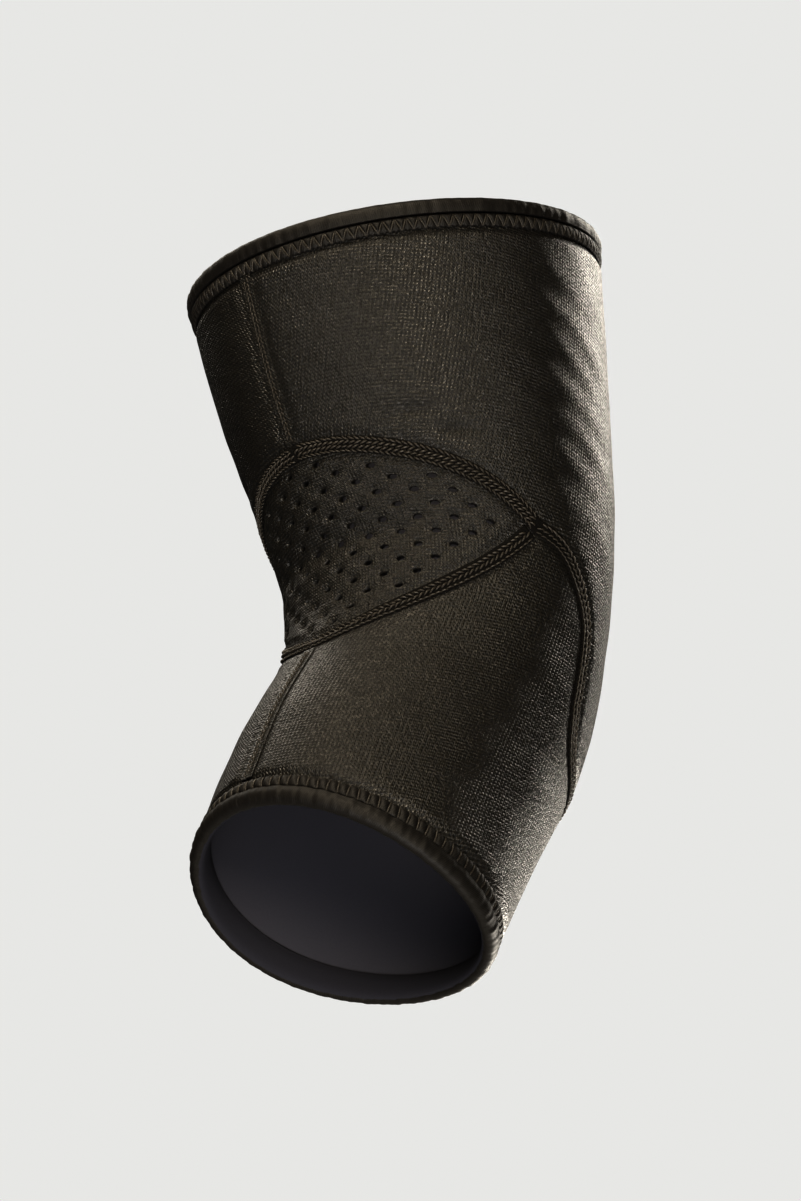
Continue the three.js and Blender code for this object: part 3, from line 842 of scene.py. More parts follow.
@dataclass
class ClothPanel(OnSleeve):
    """A sheet of foam-backed knit with an outer and an inner face.

    Attributes:
        name: the piece's name.
        node: the solid that it replaces.
        slot: its outer finish.
        flat: width and length of the cut.
        area: area of the cut.
        grain: turn round the arm at which the knit's columns run straight.
    """

    name: str
    node: str
    slot: str
    flat: tuple[float, float]
    area: float
    grain: float = math.pi

    def surface(self, net: Net, out: Array) -> Surface:
        """Closes a net into cloth: outer face, inner face a wall behind, and the cut edges between.

        Args:
            net: the net over the skin.
            out: the outer face's height at each place.

        Returns:
            The closed surface; its inner face has finish 1.
        """
        form = self.form
        outer = form.skin(net.round, net.up, out)
        inner = form.skin(net.round, net.up, np.full(len(out), -form.wall))
        count = len(net.round)
        a, b = edge_pairs(net.faces).T
        faces = np.concatenate([net.faces, net.faces[:, ::-1] + count, halves(b, a, a + count, b + count)])
        finish = np.zeros(len(faces), int)
        finish[len(net.faces):2 * len(net.faces)] = 1
        cut = form.flat(net.round, net.up) / MM
        cut[:, 0] = (net.round - self.grain) * form.radius(net.up) / MM
        return Surface(np.concatenate([outer, inner]), faces, np.concatenate([cut, cut]), finish)

    def place(self, net: Net, out: Array, materials: list[Material]) -> None:
        """Makes the panel and puts it in place of its solid.

        Args:
            net: the net over the skin.
            out: the outer face's height at each place.
            materials: the finishes of its outer and inner face.
        """
        piece = self.surface(net, out).to_object(self.name, materials)
        dress(piece, self.slot, self.node)
        LOG.info("%s: %d triangles", self.name, len(piece.data.polygons))


def dress(piece: bpy.types.Object, slot: str, *nodes: str) -> None:
    """Lets a piece ride on the brace and puts it in place of solids.

    Args:
        piece: the piece.
        slot: its finish; not used.
        nodes: the solids that it replaces, if any.
    """
    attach(piece, "root")
    if nodes:
        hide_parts(*nodes)


@dataclass
class ArmPanel(ClothPanel):
    """A sheet round the arm, cut open down its front.

    Attributes:
        pitch: width of the net's cells.
        row_share: height of a cell, as a share of its width.
        net_radius: the arm's radius that the count of columns is for.
    """

    pitch: float = 0.00105
    row_share: float = 0.93
    net_radius: float = 0.05

    def arm_net(self, edge: float, low: float, high: float) -> Net:
        """Nets the arm from one side of the front seam round to the other.

        Args:
            edge: height of the open edge, where the gap at the seam is measured.
            low: height of the first row.
            high: the height that the rows stop short of.

        Returns:
            The net, not yet cut to the seams.
        """
        gap = self.plan.joint_gap / self.form.radius(np.array(edge))
        rounds = np.linspace(gap, 2 * np.pi - gap, int(2 * np.pi * self.net_radius / self.pitch))
        return Net.grid(rounds, np.arange(low, high, self.pitch * self.row_share))


@dataclass
class UpperPanel(ArmPanel):
    """The sheet round the upper arm, with the tongue that covers the point of the elbow."""

    name: str = "upper_arm_cloth"
    node: str = "upper_arm_panel"
    slot: str = "knit"
    flat: tuple[float, float] = (0.385, 0.176)
    area: float = 0.0475
    net_radius: float = 0.055

    def build(self, materials: list[Material]) -> None:
        """Nets the arm from the elbow seam to the hem and makes the cloth.

        Args:
            materials: the finishes of its outer and inner face.
        """
        plan, top = self.plan, self.form.upper_length
        net = self.arm_net(top, -plan.tongue_drop - self.pitch, top)
        low = plan.height(plan.elbow, net.round) + plan.clearance
        net = net.trimmed(low, np.full(len(low), top - self.relief.cloth_edge))
        self.place(net, self.relief.face(net.round, net.up), materials)


@dataclass
class ForearmPanel(ArmPanel):
    """The sheet round the forearm, whose two horns reach up to the tips of the crook panel."""

    name: str = "forearm_cloth"
    node: str = "forearm_panel"
    slot: str = "knit"
    flat: tuple[float, float] = (0.30, 0.125)
    area: float = 0.0215
    net_radius: float = 0.048

    def build(self, materials: list[Material]) -> None:
        """Nets the arm from the hem to the seams above and makes the cloth.

        Args:
            materials: the finishes of its outer and inner face.
        """
        plan, bottom = self.plan, -self.form.forearm_length
        net = self.arm_net(bottom, bottom, plan.tip + self.pitch)
        high = plan.height(plan.forearm, net.round) - plan.clearance
        net = net.trimmed(np.full(len(high), self.relief.cloth_edge + bottom), high)
        self.place(net, self.relief.face(net.round, net.up), materials)


@dataclass
class CrookPanel(ClothPanel):
    """The perforated panel in the crook: cells with and without a hole, like a checkerboard.

    Attributes:
        hole: width of a hole, which the next field is the height of.
        pitch: distance between the holes of a row.
        row: distance between rows.
        margin: least distance from a hole to a seam.
        blunt: height at which the panel's tips end.
        along_cell: edges along a cell's side, and up_cell up it.
        rings: rings of edges round a hole.
        dimple: how deep the cloth sinks at a hole.
        above: how soon the dimple fades above the hole, and below how soon under it.
        dimple_reach: its reach, as a share of the hole's width.
    """

    name: str = "crook_cloth"
    node: str = "crook_panel"
    slot: str = "perforated_knit"
    flat: tuple[float, float] = (0.128, 0.075)
    area: float = 0.0062
    grain: float = 0.0
    hole: float = 0.0026
    hole_height: float = 0.0015
    pitch: float = 0.010
    row: float = 0.0038
    margin: float = 0.0046
    blunt: float = 0.0012
    along_cell: int = 8
    up_cell: int = 6
    rings: int = 6
    dimple: float = 0.0007
    above: float = 1.1
    below: float = 2.2
    dimple_reach: float = 0.75

    @property
    def radius(self) -> float:
        """Radius of the sleeve at the elbow."""
        return float(self.form.radius(np.array(0.0)))

    @staticmethod
    def key(k: Array, j: Array) -> Array:
        """Returns one number for each cell, by its column and row."""
        return k * 1000 + j

    def holes(self) -> Array:
        """Returns the cells that keep their hole, as rows of (half pitches across, rows up)."""
        plan = self.plan
        span = math.ceil(plan.reach * self.radius / self.pitch) + 1
        rows = math.ceil((plan.crook_top - plan.crook_bottom) / self.row)
        columns = np.arange(-2 * span, 2 * span + 1)
        k, j = (grid.ravel() for grid in np.meshgrid(columns, np.arange(-rows, rows + 1)))
        kept = (k - j) % 2 == 0
        k, j = k[kept], j[kept]
        round, up = self.places(k * self.pitch / 2, j * self.row)
        gap, _ = plan.nearest([plan.elbow, plan.crook_low], round, up)
        size = np.abs(round) / plan.reach
        low, high = plan.height(plan.crook_low, round), plan.height(plan.elbow, round)
        return np.stack([k, j], -1)[(size < 1) & (up > low) & (up < high) & (gap >= self.margin)]

    def places(self, x: Array, y: Array) -> tuple[Array, Array]:
        """Returns the places on the arm of points of the flat panel."""
        round = x / self.radius
        return round, self.form.height_at(round, y, self.plan.crook_bottom, self.plan.crook_top)

    def plain_cell(self) -> tuple[Array, Array]:
        """Returns the points, from -1 to 1, and triangles of a cell without a hole."""
        x, y = np.meshgrid(np.linspace(-1, 1, self.along_cell + 1), np.linspace(-1, 1, self.up_cell + 1),
                           indexing="ij")
        return np.stack([x.ravel(), y.ravel()], -1), lattice(np.arange(x.size).reshape(x.shape))

    def pierced_cell(self) -> tuple[Array, Array]:
        """Returns the same for a cell with a hole: rings from its sides to the hole's edge."""
        right, top = np.linspace(-1, 1, self.along_cell + 1)[:-1], np.linspace(-1, 1, self.up_cell + 1)[:-1]
        rim = np.concatenate([np.stack([right, 0 * right - 1], -1), np.stack([0 * top + 1, top], -1),
                              np.stack([-right, 0 * right + 1], -1), np.stack([0 * top - 1, -top], -1)])
        angle = np.arctan2(rim[:, 1] * self.row, rim[:, 0] * self.pitch / 2)
        wide, high = 2 * self.hole / self.pitch, self.hole_height / self.row
        circle = np.stack([wide * np.cos(angle), high * np.sin(angle)], -1)
        blend = (np.linspace(0, 1, self.rings + 1) ** 1.4)[:, None, None]
        points = mix(circle[None], rim[None], blend)
        index = np.arange(points.shape[0] * points.shape[1]).reshape(points.shape[:2])
        return points.reshape(-1, 2), girdle(index[:-1], index[1:])

    def net(self, holes: Array) -> Net:
        """Tiles the flat panel with both kinds of cell and cuts it to its edges.

        Args:
            holes: the cells that have a hole.

        Returns:
            The panel's net.
        """
        plan, form = self.plan, self.form
        span = math.ceil(plan.reach * self.radius / (self.pitch / 2)) + 1
        low = form.flat(np.array(0.0), np.array(plan.crook_bottom))[1]
        high = form.flat(np.array(0.0), np.array(plan.crook_top))[1]
        rows = np.arange(math.floor(low / self.row), math.ceil(high / self.row) + 1)
        k, j = (grid.ravel() for grid in np.meshgrid(np.arange(-span, span + 1), rows))
        pierced = np.isin(self.key(k, j), self.key(*holes.T))
        points, faces, count = [], [], 0
        for (cell, triangles), which in ((self.plain_cell(), ~pierced), (self.pierced_cell(), pierced)):
            centre = np.stack([k[which] * self.pitch / 2, j[which] * self.row], -1)
            laid = centre[:, None, :] + cell[None] * np.array([self.pitch / 4, self.row / 2])
            first = count + np.arange(len(centre))[:, None, None] * len(cell)
            points.append(laid.reshape(-1, 2))
            faces.append((triangles[None] + first).reshape(-1, 3))
            count += len(centre) * len(cell)
        flat = np.concatenate(points)
        round = flat[:, 0] / self.radius
        beyond = 0.02  # places beyond the seams still need a height of their own
        up = form.height_at(round, flat[:, 1], plan.crook_bottom - beyond, plan.crook_top + beyond)
        net = Net(round, up, np.concatenate(faces)).welded()
        low_edge, high_edge = plan.height(plan.crook_low, net.round), plan.height(plan.elbow, net.round)
        shut = (high_edge - low_edge < self.blunt) | (np.abs(net.round) > plan.reach)
        low_edge, high_edge = low_edge + plan.clearance, high_edge - plan.clearance
        middle = (low_edge + high_edge) / 2
        low_edge, high_edge = np.where(shut, middle, low_edge), np.where(shut, middle, high_edge)
        return net.trimmed(low_edge, high_edge)

    def dimples(self, net: Net, holes: Array) -> Array:
        """Measures how far the cloth sinks towards each hole: gently from above, sharply from below.

        Args:
            net: the panel's net.
            holes: the cells that have a hole.

        Returns:
            The depth at each place.
        """
        x = net.round * self.radius
        y = self.form.flat(net.round, net.up)[:, 1]
        k, j = np.round(x / (self.pitch / 2)), np.round(y / self.row)
        near = np.isin(self.key(k, j), self.key(*holes.T))
        dx, dy = x - k * self.pitch / 2, y - j * self.row
        r = np.hypot(dx, np.where(dy > 0, dy * self.above, dy * self.below)) / self.hole
        return np.where(near, self.dimple * bell(r, 0.0, self.dimple_reach), 0.0)

    def build(self, materials: list[Material]) -> None:
        """Makes the perforated cloth.

        Args:
            materials: the finishes of its outer and inner face.
        """
        holes = self.holes()
        LOG.info("%s: %d holes", self.name, len(holes))
        net = self.net(holes)
        self.place(net, self.relief.face(net.round, net.up) - self.dimples(net, holes), materials)


@dataclass
class SeamPath:
    """A seam as a line over the skin that things can be laid along."""

    form: SleeveForm
    line: Array
    closed: bool = False

    def __post_init__(self) -> None:
        """Measures the line on the smooth sleeve."""
        if self.closed:
            self.line = np.concatenate([self.line, self.line[:1] + [2 * np.pi, 0]])
        points = self.form.point(self.line[:, 0], self.line[:, 1])
        self.sums = np.concatenate([[0.0], np.cumsum(np.linalg.norm(np.diff(points, axis=0), axis=1))])

    @property
    def length(self) -> float:
        """Length of the whole line."""
        return float(self.sums[-1])

    def at(self, distance: Array) -> tuple[Array, Array]:
        """Returns the places at distances along the line."""
        d = np.mod(distance, self.length) if self.closed else distance
        return np.interp(d, self.sums, self.line[:, 0]), np.interp(d, self.sums, self.line[:, 1])

    def frames(self, distance: Array) -> tuple[Array, Array, Array]:
        """Finds the frames in which things are laid along the line.

        Args:
            distance: distances along the line.

        Returns:
            The points, the directions across the line and the skin's normals.
        """
        reach = 0.0015
        ends = [self.form.point(*self.at(distance + d)) for d in (-reach, reach)]
        round, up = self.at(distance)
        normal = self.form.normal(round, up)
        along = unit(ends[1] - ends[0])
        return self.form.point(round, up), unit(np.cross(normal, along)), normal

    def laid(self, distance: Array, across: Array, out: Array) -> tuple[Array, Array]:
        """Returns points beside and above the line, with the skin's normals there."""
        point, beside, normal = self.frames(distance)
        return point + beside * across[..., None] + normal * out[..., None], normal


@dataclass(frozen=True)
class Stretch:
    """A stretch of a seam that is sewn in one way."""

    start: float
    end: float
    braid: Braid


@dataclass
class SeamStitching:
    """A flat seam: a band of cloth with rows of loops on it.

    Attributes:
        plan: where the seams run.
        name: the seam's name in the part.
        path: its line.
        stretches: its stretches, from end to end.
        step: distance between the band's sections.
        profile: the band's section from its middle out: share of the half width, share of the drop.
        stray_long: how far the loops' lengths stray, as a share, and stray_lean the same for lean and height.
        stray_aside: how far they stray across the seam.
    """

    plan: SeamPlan
    name: str
    path: SeamPath
    stretches: tuple[Stretch, ...]
    step: float = 0.0006
    profile: tuple[tuple[float, float], ...] = (
        (0.0, 0.4), (0.12, 0.12), (0.5, 0.06), (0.86, 0.12), (0.97, 0.45), (1.0, 1.0))
    stray_long: float = 0.08
    stray_lean: float = 0.2
    stray_aside: float = 0.00005

    def top(self, distance: Array) -> Array:
        """Finds the height of the band's crest, eased where one braid meets the next.

        Args:
            distance: distances along the seam.

        Returns:
            Heights over the smooth sleeve.
        """
        ends = np.array([(stretch.start, stretch.end) for stretch in self.stretches]).ravel()
        crests = [stretch.braid.value.crest for stretch in self.stretches]
        return np.interp(distance, ends, np.repeat(crests, 2))

    def band(self) -> Surface:
        """Returns the flat band under the loops: a strip with rounded upper corners and a middle groove."""
        start, end = self.stretches[0].start, self.stretches[-1].end
        share, drop = np.array(self.profile).T
        across = self.plan.width / 2 * np.concatenate([-share[:0:-1], share])
        drop = np.concatenate([drop[:0:-1], drop])
        off_the_cloth = 0.0002
        floor = off_the_cloth - self.stretches[0].braid.value.valley
        count = max(4, int((end - start) / self.step))
        distance = np.linspace(start, end, count, endpoint=not self.path.closed)
        d, a = np.meshgrid(distance, across, indexing="ij")
        points, _ = self.path.laid(d, a, mix(self.top(d), floor, drop))
        return ring_grid(points, np.stack([a, d], -1) / MM, self.path.closed)

    def loops(self, stretch: Stretch) -> Surface:
        """Makes the loops of a stretch: short threads that dive into the band at both ends.

        Each is an arch: it moves evenly along and across the seam, and its height follows a sine. Each
        loop's length, lean and height stray a little from its row's.

        Args:
            stretch: the stretch.

        Returns:
            All its loops as one surface.
        """
        braid, length = stretch.braid.value, stretch.end - stretch.start
        count = max(2, int(length / braid.pitch))
        t = np.linspace(0, 1, 6)
        stray = np.random.default_rng(len(self.name) + count)
        parts = []
        for row in braid.rows:
            first = stretch.start + (np.arange(count) + row.phase) * length / count
            first = first[(first > stretch.start + braid.long / 2) & (first < stretch.end - braid.long / 2)]
            first = first[:, None]
            long, lean, aside = stray.normal(0.0, 1.0, (3, len(first), 1))
            distance = first + (t - 0.5) * braid.long * (1 + self.stray_long * long)
            across = row.middle + (t - 0.5) * row.shift * (1 + self.stray_lean * lean)
            across = across + self.stray_aside * aside
            arch = np.sin(np.pi * t)
            out = self.top(distance) + row.thread * (2.1 * arch ** 0.8 - 0.9 + self.stray_lean * lean)
            paths, normals = self.path.laid(distance, across, out)
            parts.append(tubes(paths, normals, row.thread * (0.7 + 0.3 * arch) + 0 * distance, 6))
        return joined(parts)

    def build(self, band: Material, thread: Material) -> None:
        """Makes the band and its loops.

        Args:
            band: the band's finish.
            thread: the loops' finish.
        """
        base = self.band().to_object(self.name + "_band", [band])
        dress(base, "seam_thread", self.name)
        loops = joined([self.loops(stretch) for stretch in self.stretches])
        sewn = loops.to_object(self.name + "_threads", [thread])
        dress(sewn, "seam_thread")
        LOG.info("%s: %d triangles", self.name, len(base.data.polygons) + len(sewn.data.polygons))


def joined(parts: list[Surface]) -> Surface:
    """Puts several surfaces into one.

    Args:
        parts: the surfaces.

    Returns:
        One surface that holds them all.
    """
    starts = np.cumsum([0] + [len(part.points) for part in parts[:-1]])
    return Surface(np.concatenate([part.points for part in parts]),
                   np.concatenate([part.faces + start for part, start in zip(parts, starts)]),
                   np.concatenate([part.uv for part in parts]))


@dataclass(frozen=True)
class Ripple:
    """A wave round a folded edge: its height, how many go round, and its phase."""

    height: float
    count: int
    phase: float = 0.0


@dataclass
class Hem(OnSleeve):
    """An open edge: the cloth folded in over itself and held by a row of stitches.

    Attributes:
        rim: which edge it is.
        proud: how far the fold stands out from the sleeve.
        turn_in: depth of the turned-in cloth, and turn_in_thick its thickness.
        zigzag: distance between stitches.
        thread: radius of the thread.
        pucker: how far the fold sinks at a stitch.
        steps: sections round the fold.
        ripples: the fold's own waves.
        puff: how high the cloth puffs up between the stitches.
        crease: how deep it sinks along a thread, and crease_reach how wide, as a share of a leg.
        scallop: how far its lower edge wanders.
        thread_lift: how high the threads start, and thread_arch how much higher they rise.
    """

    rim: Rim
    proud: float = 0.00035
    turn_in: float = 0.009
    turn_in_thick: float = 0.0009
    zigzag: float = 0.0034
    thread: float = 0.00022
    pucker: float = 0.00015
    steps: int = 900
    ripples: tuple[Ripple, ...] = (Ripple(0.00008, 37), Ripple(0.00007, 61, 1.3), Ripple(0.00005, 113))
    puff: float = 0.00105
    crease: float = 0.0010
    crease_reach: float = 0.17
    scallop: float = 0.00022
    thread_lift: float = 0.00035
    thread_arch: float = 0.0005

    @property
    def edge(self) -> float:
        """Height of the open edge, without its sign."""
        return self.form.upper_length if self.rim is Rim.TOP else self.form.forearm_length

    @property
    def radius(self) -> float:
        """Radius of the sleeve at the edge."""
        return float(self.form.radius(np.array(self.rim.value * self.edge)))

    @property
    def stitches(self) -> int:
        """How many stitches go round the edge."""
        return round(2 * np.pi * self.radius / self.zigzag)

    @property
    def name(self) -> str:
        """The hem's name in the part."""
        return "top_hem" if self.rim is Rim.TOP else "bottom_hem"

    def rings(self, down: Array, out: Array) -> Surface:
        """Carries a closed section round the edge.

        Args:
            down: the section's distances from the edge, as (steps, points).
            out: its heights over the smooth sleeve.

        Returns:
            The closed ring.
        """
        way = self.rim.value
        round = way * np.linspace(0, 2 * np.pi, len(down), endpoint=False)[:, None] + 0 * down
        points = self.form.skin(round, way * (self.edge - down), out)
        return ring_grid(points, np.stack([np.abs(round) * self.radius / MM, down / MM], -1), True)

    def fold(self) -> Surface:
        """Returns the rolled edge and the turned-in cloth behind it, a smooth curve through points."""
        height, turn_in = self.relief.fold_height, self.turn_in
        lining = -self.form.wall - self.plan.lay_gap
        back = lining - self.turn_in_thick
        # The roll, as shares of its height and of the way from its outer face to the turned-in cloth's.
        roll = ((1.0, 0.1), (0.93, 0.02), (0.55, 0.0), (0.16, 0.17), (0.0, 0.5), (0.16, 0.83), (0.6, 0.97))
        rows = [(height * along, mix(self.proud, back, share)) for along, share in roll]
        rows += [(0.7 * turn_in, back + 0.0002), (turn_in, lining - 0.0001), (turn_in, lining),
                 (0.7 * turn_in, lining), (height, lining)]
        t = np.linspace(0, len(rows), 44, endpoint=False)
        down, out = (catmull_ring(column, t) for column in np.array(rows).T)
        turn = np.linspace(0, 2 * np.pi, self.steps, endpoint=False)[:, None]
        ripple = sum(wave.height * np.sin(wave.count * turn + wave.phase) for wave in self.ripples)
        outside = out > lining
        pucker = self.pucker * np.abs(np.cos(self.stitches * turn / 2 + np.sin(9 * turn))) ** 3
        held = smooth(down / height) * outside
        made = self.rings(down + 0 * turn, out + ripple * outside - pucker * held)
        first, last = 4.4, 11.0  # the stretch of the section, counted in rows, that shows the lining; the hems give it a darker copy of the lining, painted shade
        made.finish = np.tile(((t > first) & (t < last)).astype(int), 2 * self.steps)
        return made

    def band(self) -> Surface:
        """Returns the puffed cloth between the stitches: it sinks along each leg of the zigzag."""
        low, high = self.relief.stitching_end, self.relief.cloth_edge
        share, steps = np.linspace(0, 1, 17), self.stitches * 12
        turn = np.linspace(0, 1, steps, endpoint=False)[:, None]
        leg = 1 - np.abs(2 * np.mod(turn * self.stitches, 1) - 1)
        foot = share if self.rim is Rim.TOP else 0.5 + 0 * share
        floor = self.plan.lay_gap - self.plan.valley
        dome = floor + 0.0001 + self.puff * np.sin(np.pi * share) ** 0.45
        crease = self.crease * bell(leg, foot, self.crease_reach) * np.sin(np.pi * share)
        down = np.concatenate([mix(low, high, share), mix(high, low, share[[4, 12]])])
        out = np.concatenate([np.maximum(dome - crease, floor), np.full((steps, 2), floor)], axis=1)
        waves = self.scallop * np.cos(4 * np.pi * turn * self.stitches)
        return self.rings(down + waves * np.concatenate([(1 - share) ** 3, [0, 0]]), out)

    def legs(self) -> Surface:
        """Returns the threads over the band: a zigzag at the top, a ladder's rungs at the bottom."""
        way, count = self.rim.value, 2 * self.stitches
        t = np.linspace(0, 1, 9)
        spread = t if self.rim is Rim.TOP else 0.5 + 0.1 * (t - 0.5)
        turn = 2 * np.pi * (np.arange(count)[:, None] + spread) / count
        even = (np.arange(count) % 2 == 0)[:, None]
        low, high = self.relief.stitching_end - 0.0002, self.relief.cloth_edge + 0.0003
        down = mix(low, high, np.where(even, t, 1 - t))
        floor = self.plan.lay_gap - self.plan.valley
        out = floor + self.thread_lift + self.thread_arch * np.sin(np.pi * t) + 0 * down
        rounds, ups = way * turn, way * (self.edge - down)
        paths = self.form.skin(rounds, ups, out)
        return tubes(paths, self.form.normal(rounds, ups), np.full(paths.shape[:2], self.thread), 6)

    def build(self, fold: Material, lining: Material, thread: Material) -> None:
        """Makes the fold, the band and the threads.

        Args:
            fold: finish of the fold and the band.
            lining: finish of the turned-in cloth; the brace passes a darker copy of the lining, painted
                shade.
            thread: finish of the threads.
        """
        edge = self.fold().to_object(self.name + "_fold", [fold, lining])
        dress(edge, "folded_edge", self.name)
        band = self.band().to_object(self.name + "_band", [fold])
        dress(band, "seam_thread", self.name + "_stitching")
        threads = self.legs().to_object(self.name + "_threads", [thread])
        dress(threads, "seam_thread")
        count = sum(len(piece.data.polygons) for piece in (edge, band, threads))
        LOG.info("%s: %d triangles", self.name, count)


def catmull_ring(values: Array, t: Array) -> Array:
    """Reads a closed Catmull-Rom curve.

    Args:
        values: the values that it passes through.
        t: where to read, counted in values.

    Returns:
        The curve's values, one for each t.
    """
    count = len(values)
    i = t.astype(int) % count
    w = t - t.astype(int)
    p = [values[(i + k) % count] for k in (-1, 0, 1, 2)]
    return 0.5 * (2 * p[1] + (p[2] - p[0]) * w + (2 * p[0] - 5 * p[1] + 4 * p[2] - p[3]) * w ** 2
                  + (3 * p[1] - p[0] - 3 * p[2] + p[3]) * w ** 3)


class Tree:
    """A material's node tree, with short calls to fill it."""

    def __init__(self, name: str) -> None:
        """Starts an empty material.

        Args:
            name: the material's name.
        """
        self.material = bpy.data.materials.new(name)
        self.material.use_nodes = True
        self.nodes, self.links = self.material.node_tree.nodes, self.material.node_tree.links
        self.nodes.clear()

    def add(self, kind: str, inputs: dict | None = None, **settings) -> bpy.types.Node:
        """Adds a node.

        Args:
            kind: its type, without the first word.
            inputs: values or outputs for its sockets, by name or place.
            settings: its properties.

        Returns:
            The node.
        """
        node = self.nodes.new("ShaderNode" + kind)
        for key, value in settings.items():
            setattr(node, key, value)
        for key, value in (inputs or {}).items():
            self.feed(node.inputs[key], value)
        return node

    def feed(self, socket: Socket, value: object) -> None:
        """Links an output to a socket, or sets the socket's own value.

        Args:
            socket: the socket.
            value: the output or the value.
        """
        if isinstance(value, Socket):
            self.links.new(value, socket)
        else:
            socket.default_value = value

    def cut(self) -> tuple[Socket, Socket, Socket]:
        """Adds the piece's own cut, in millimetres, and returns it with its first and second part."""
        cut = self.add("UVMap", uv_map="cut").outputs[0]
        split = self.add("SeparateXYZ", {0: cut})
        return cut, split.outputs[0], split.outputs[1]

    def swing(self, angle: object) -> Socket:
        """Returns the sine of an angle, moved to run from 0 to 1."""
        return self.math("MULTIPLY_ADD", self.math("SINE", angle), 0.5, 0.5)

    def math(self, operation: str, a: object, b: object = 0.0, c: object = 0.0) -> Socket:
        """Adds a math node and returns its result."""
        return self.add("Math", {0: a, 1: b, 2: c}, operation=operation).outputs[0]

    def ramp(self, value: object, low: float, high: float) -> Socket:
        """Maps a value from a range onto 0 to 1, softly.

        Args:
            value: the value.
            low: what becomes 0.
            high: what becomes 1.

        Returns:
            The mapped value.
        """
        node = self.add("MapRange", {"Value": value, "From Min": low, "From Max": high},
                        interpolation_type="SMOOTHSTEP")
        return node.outputs["Result"]

    def noise(self, vector: object, scale: float, detail: float = 2.0) -> Socket:
        """Adds a noise and returns its strength."""
        return self.add("TexNoise", {"Vector": vector, "Scale": scale, "Detail": detail}).outputs["Fac"]

    def blend(self, share: object, a: Triple, b: Triple) -> Socket:
        """Blends two colours by the share of the second."""
        return self.add("Mix", {0: share, 6: (*a, 1.0), 7: (*b, 1.0)}, data_type="RGBA").outputs[2]

    def finish(self, color: object, roughness: object, height: object, depth: float, specular: float,
               sheen: float, sheen_tint: Triple, sheen_roughness: float = 0.4) -> Material:
        """Closes the tree with a cloth shader.

        Args:
            color: base colour.
            roughness: roughness.
            height: the surface's fine relief, 0 to 1.
            depth: how deep that relief is, in metres.
            specular: specular level.
            sheen: weight of the fuzz at grazing angles.
            sheen_tint: its colour.
            sheen_roughness: how wide the fuzz spreads.

        Returns:
            The finished material.
        """
        bump = self.add("Bump", {"Strength": 1.0, "Distance": depth, "Height": height})
        shader = self.add("BsdfPrincipled", {
            "Base Color": color, "Roughness": roughness, "Normal": bump.outputs[0],
            "Specular IOR Level": specular, "Sheen Weight": sheen, "Sheen Roughness": sheen_roughness,
            "Sheen Tint": (*sheen_tint, 1.0)})
        output = self.add("OutputMaterial")
        self.links.new(shader.outputs[0], output.inputs["Surface"])
        return self.material


@dataclass(frozen=True)
class KnitFinish:
    """Fine dark knit: columns of small V loops with dark gaps between them, and speckled yarn.

    Attributes:
        name: the material's name.
        dark: colour of the gaps, and light of the yarn's crowns.
        wale: width of a column and course height of a loop, in millimetres.
        depth: depth of the bump.
        crown_roughness: roughness of the crowns, and gap_roughness of the gaps.
        specular: specular level.
        speck: scale of the yarn's specks, and mottle and patch of wider blotches.
    """

    name: str
    dark: Triple = (0.0004, 0.0003, 0.0002)
    light: Triple = (0.0170, 0.0146, 0.0112)
    wale: float = 1.15
    course: float = 1.0
    depth: float = 0.00016
    crown_roughness: float = 0.3
    gap_roughness: float = 0.6
    specular: float = 0.5
    speck: float = 1.1
    mottle: float = 0.4
    patch: float = 0.11

    def build(self) -> Material:
        """Makes the material from the cloth's cut, in millimetres."""
        tree = Tree(self.name)
        cut, x, y = tree.cut()
        across, up = tree.math("DIVIDE", x, self.wale), tree.math("DIVIDE", y, self.course)
        inside = tree.math("ABSOLUTE", tree.math("SUBTRACT", tree.math("FRACT", across), 0.5))
        # Each column is a stack of Vs: the course's phase falls away from the column's middle.
        phase = tree.math("ADD", up, tree.math("MULTIPLY", inside, 1.1))
        loops = tree.swing(tree.math("MULTIPLY", phase, 2 * math.pi))
        yarn = tree.math("MULTIPLY", loops, tree.ramp(inside, 0.5, 0.25))
        speck = tree.ramp(tree.noise(cut, self.speck, 1.0), 0.36, 0.64)
        mottle, patch = tree.noise(cut, self.mottle, 2.0), tree.noise(cut, self.patch, 3.0)
        height = tree.math("MULTIPLY_ADD", mottle, 1.2, tree.math("MULTIPLY_ADD", speck, 0.7, yarn))
        shade = tree.math("MULTIPLY_ADD", yarn, 0.5, tree.math("MULTIPLY", speck, 0.5))
        shade = tree.math("MULTIPLY_ADD", mottle, 0.5, tree.math("MULTIPLY_ADD", patch, 0.3, shade))
        shade = tree.ramp(shade, 0.45, 1.15)
        gain = self.crown_roughness - self.gap_roughness
        rough = tree.math("MULTIPLY_ADD", shade, gain, self.gap_roughness)
        return tree.finish(tree.blend(shade, self.dark, self.light), rough, height, self.depth, self.specular,
                           sheen=0.004, sheen_tint=(0.75, 0.68, 0.6), sheen_roughness=0.3)


@dataclass(frozen=True)
class LiningFinish:
    """The inner face of the cloth, a nearly black jersey."""

    name: str
    color: Triple = (0.058, 0.058, 0.072)

    def build(self) -> Material:
        """Makes the material."""
        tree = Tree(self.name)
        cut = tree.add("UVMap", uv_map="cut").outputs[0]
        weave = tree.noise(cut, 1.6, 3.0)
        color = tree.blend(weave, tuple(0.9 * c for c in self.color), tuple(1.1 * c for c in self.color))
        return tree.finish(color, roughness=0.95, height=weave, depth=0.00002, specular=0.05, sheen=0.0,
                           sheen_tint=(0.5, 0.5, 0.5))


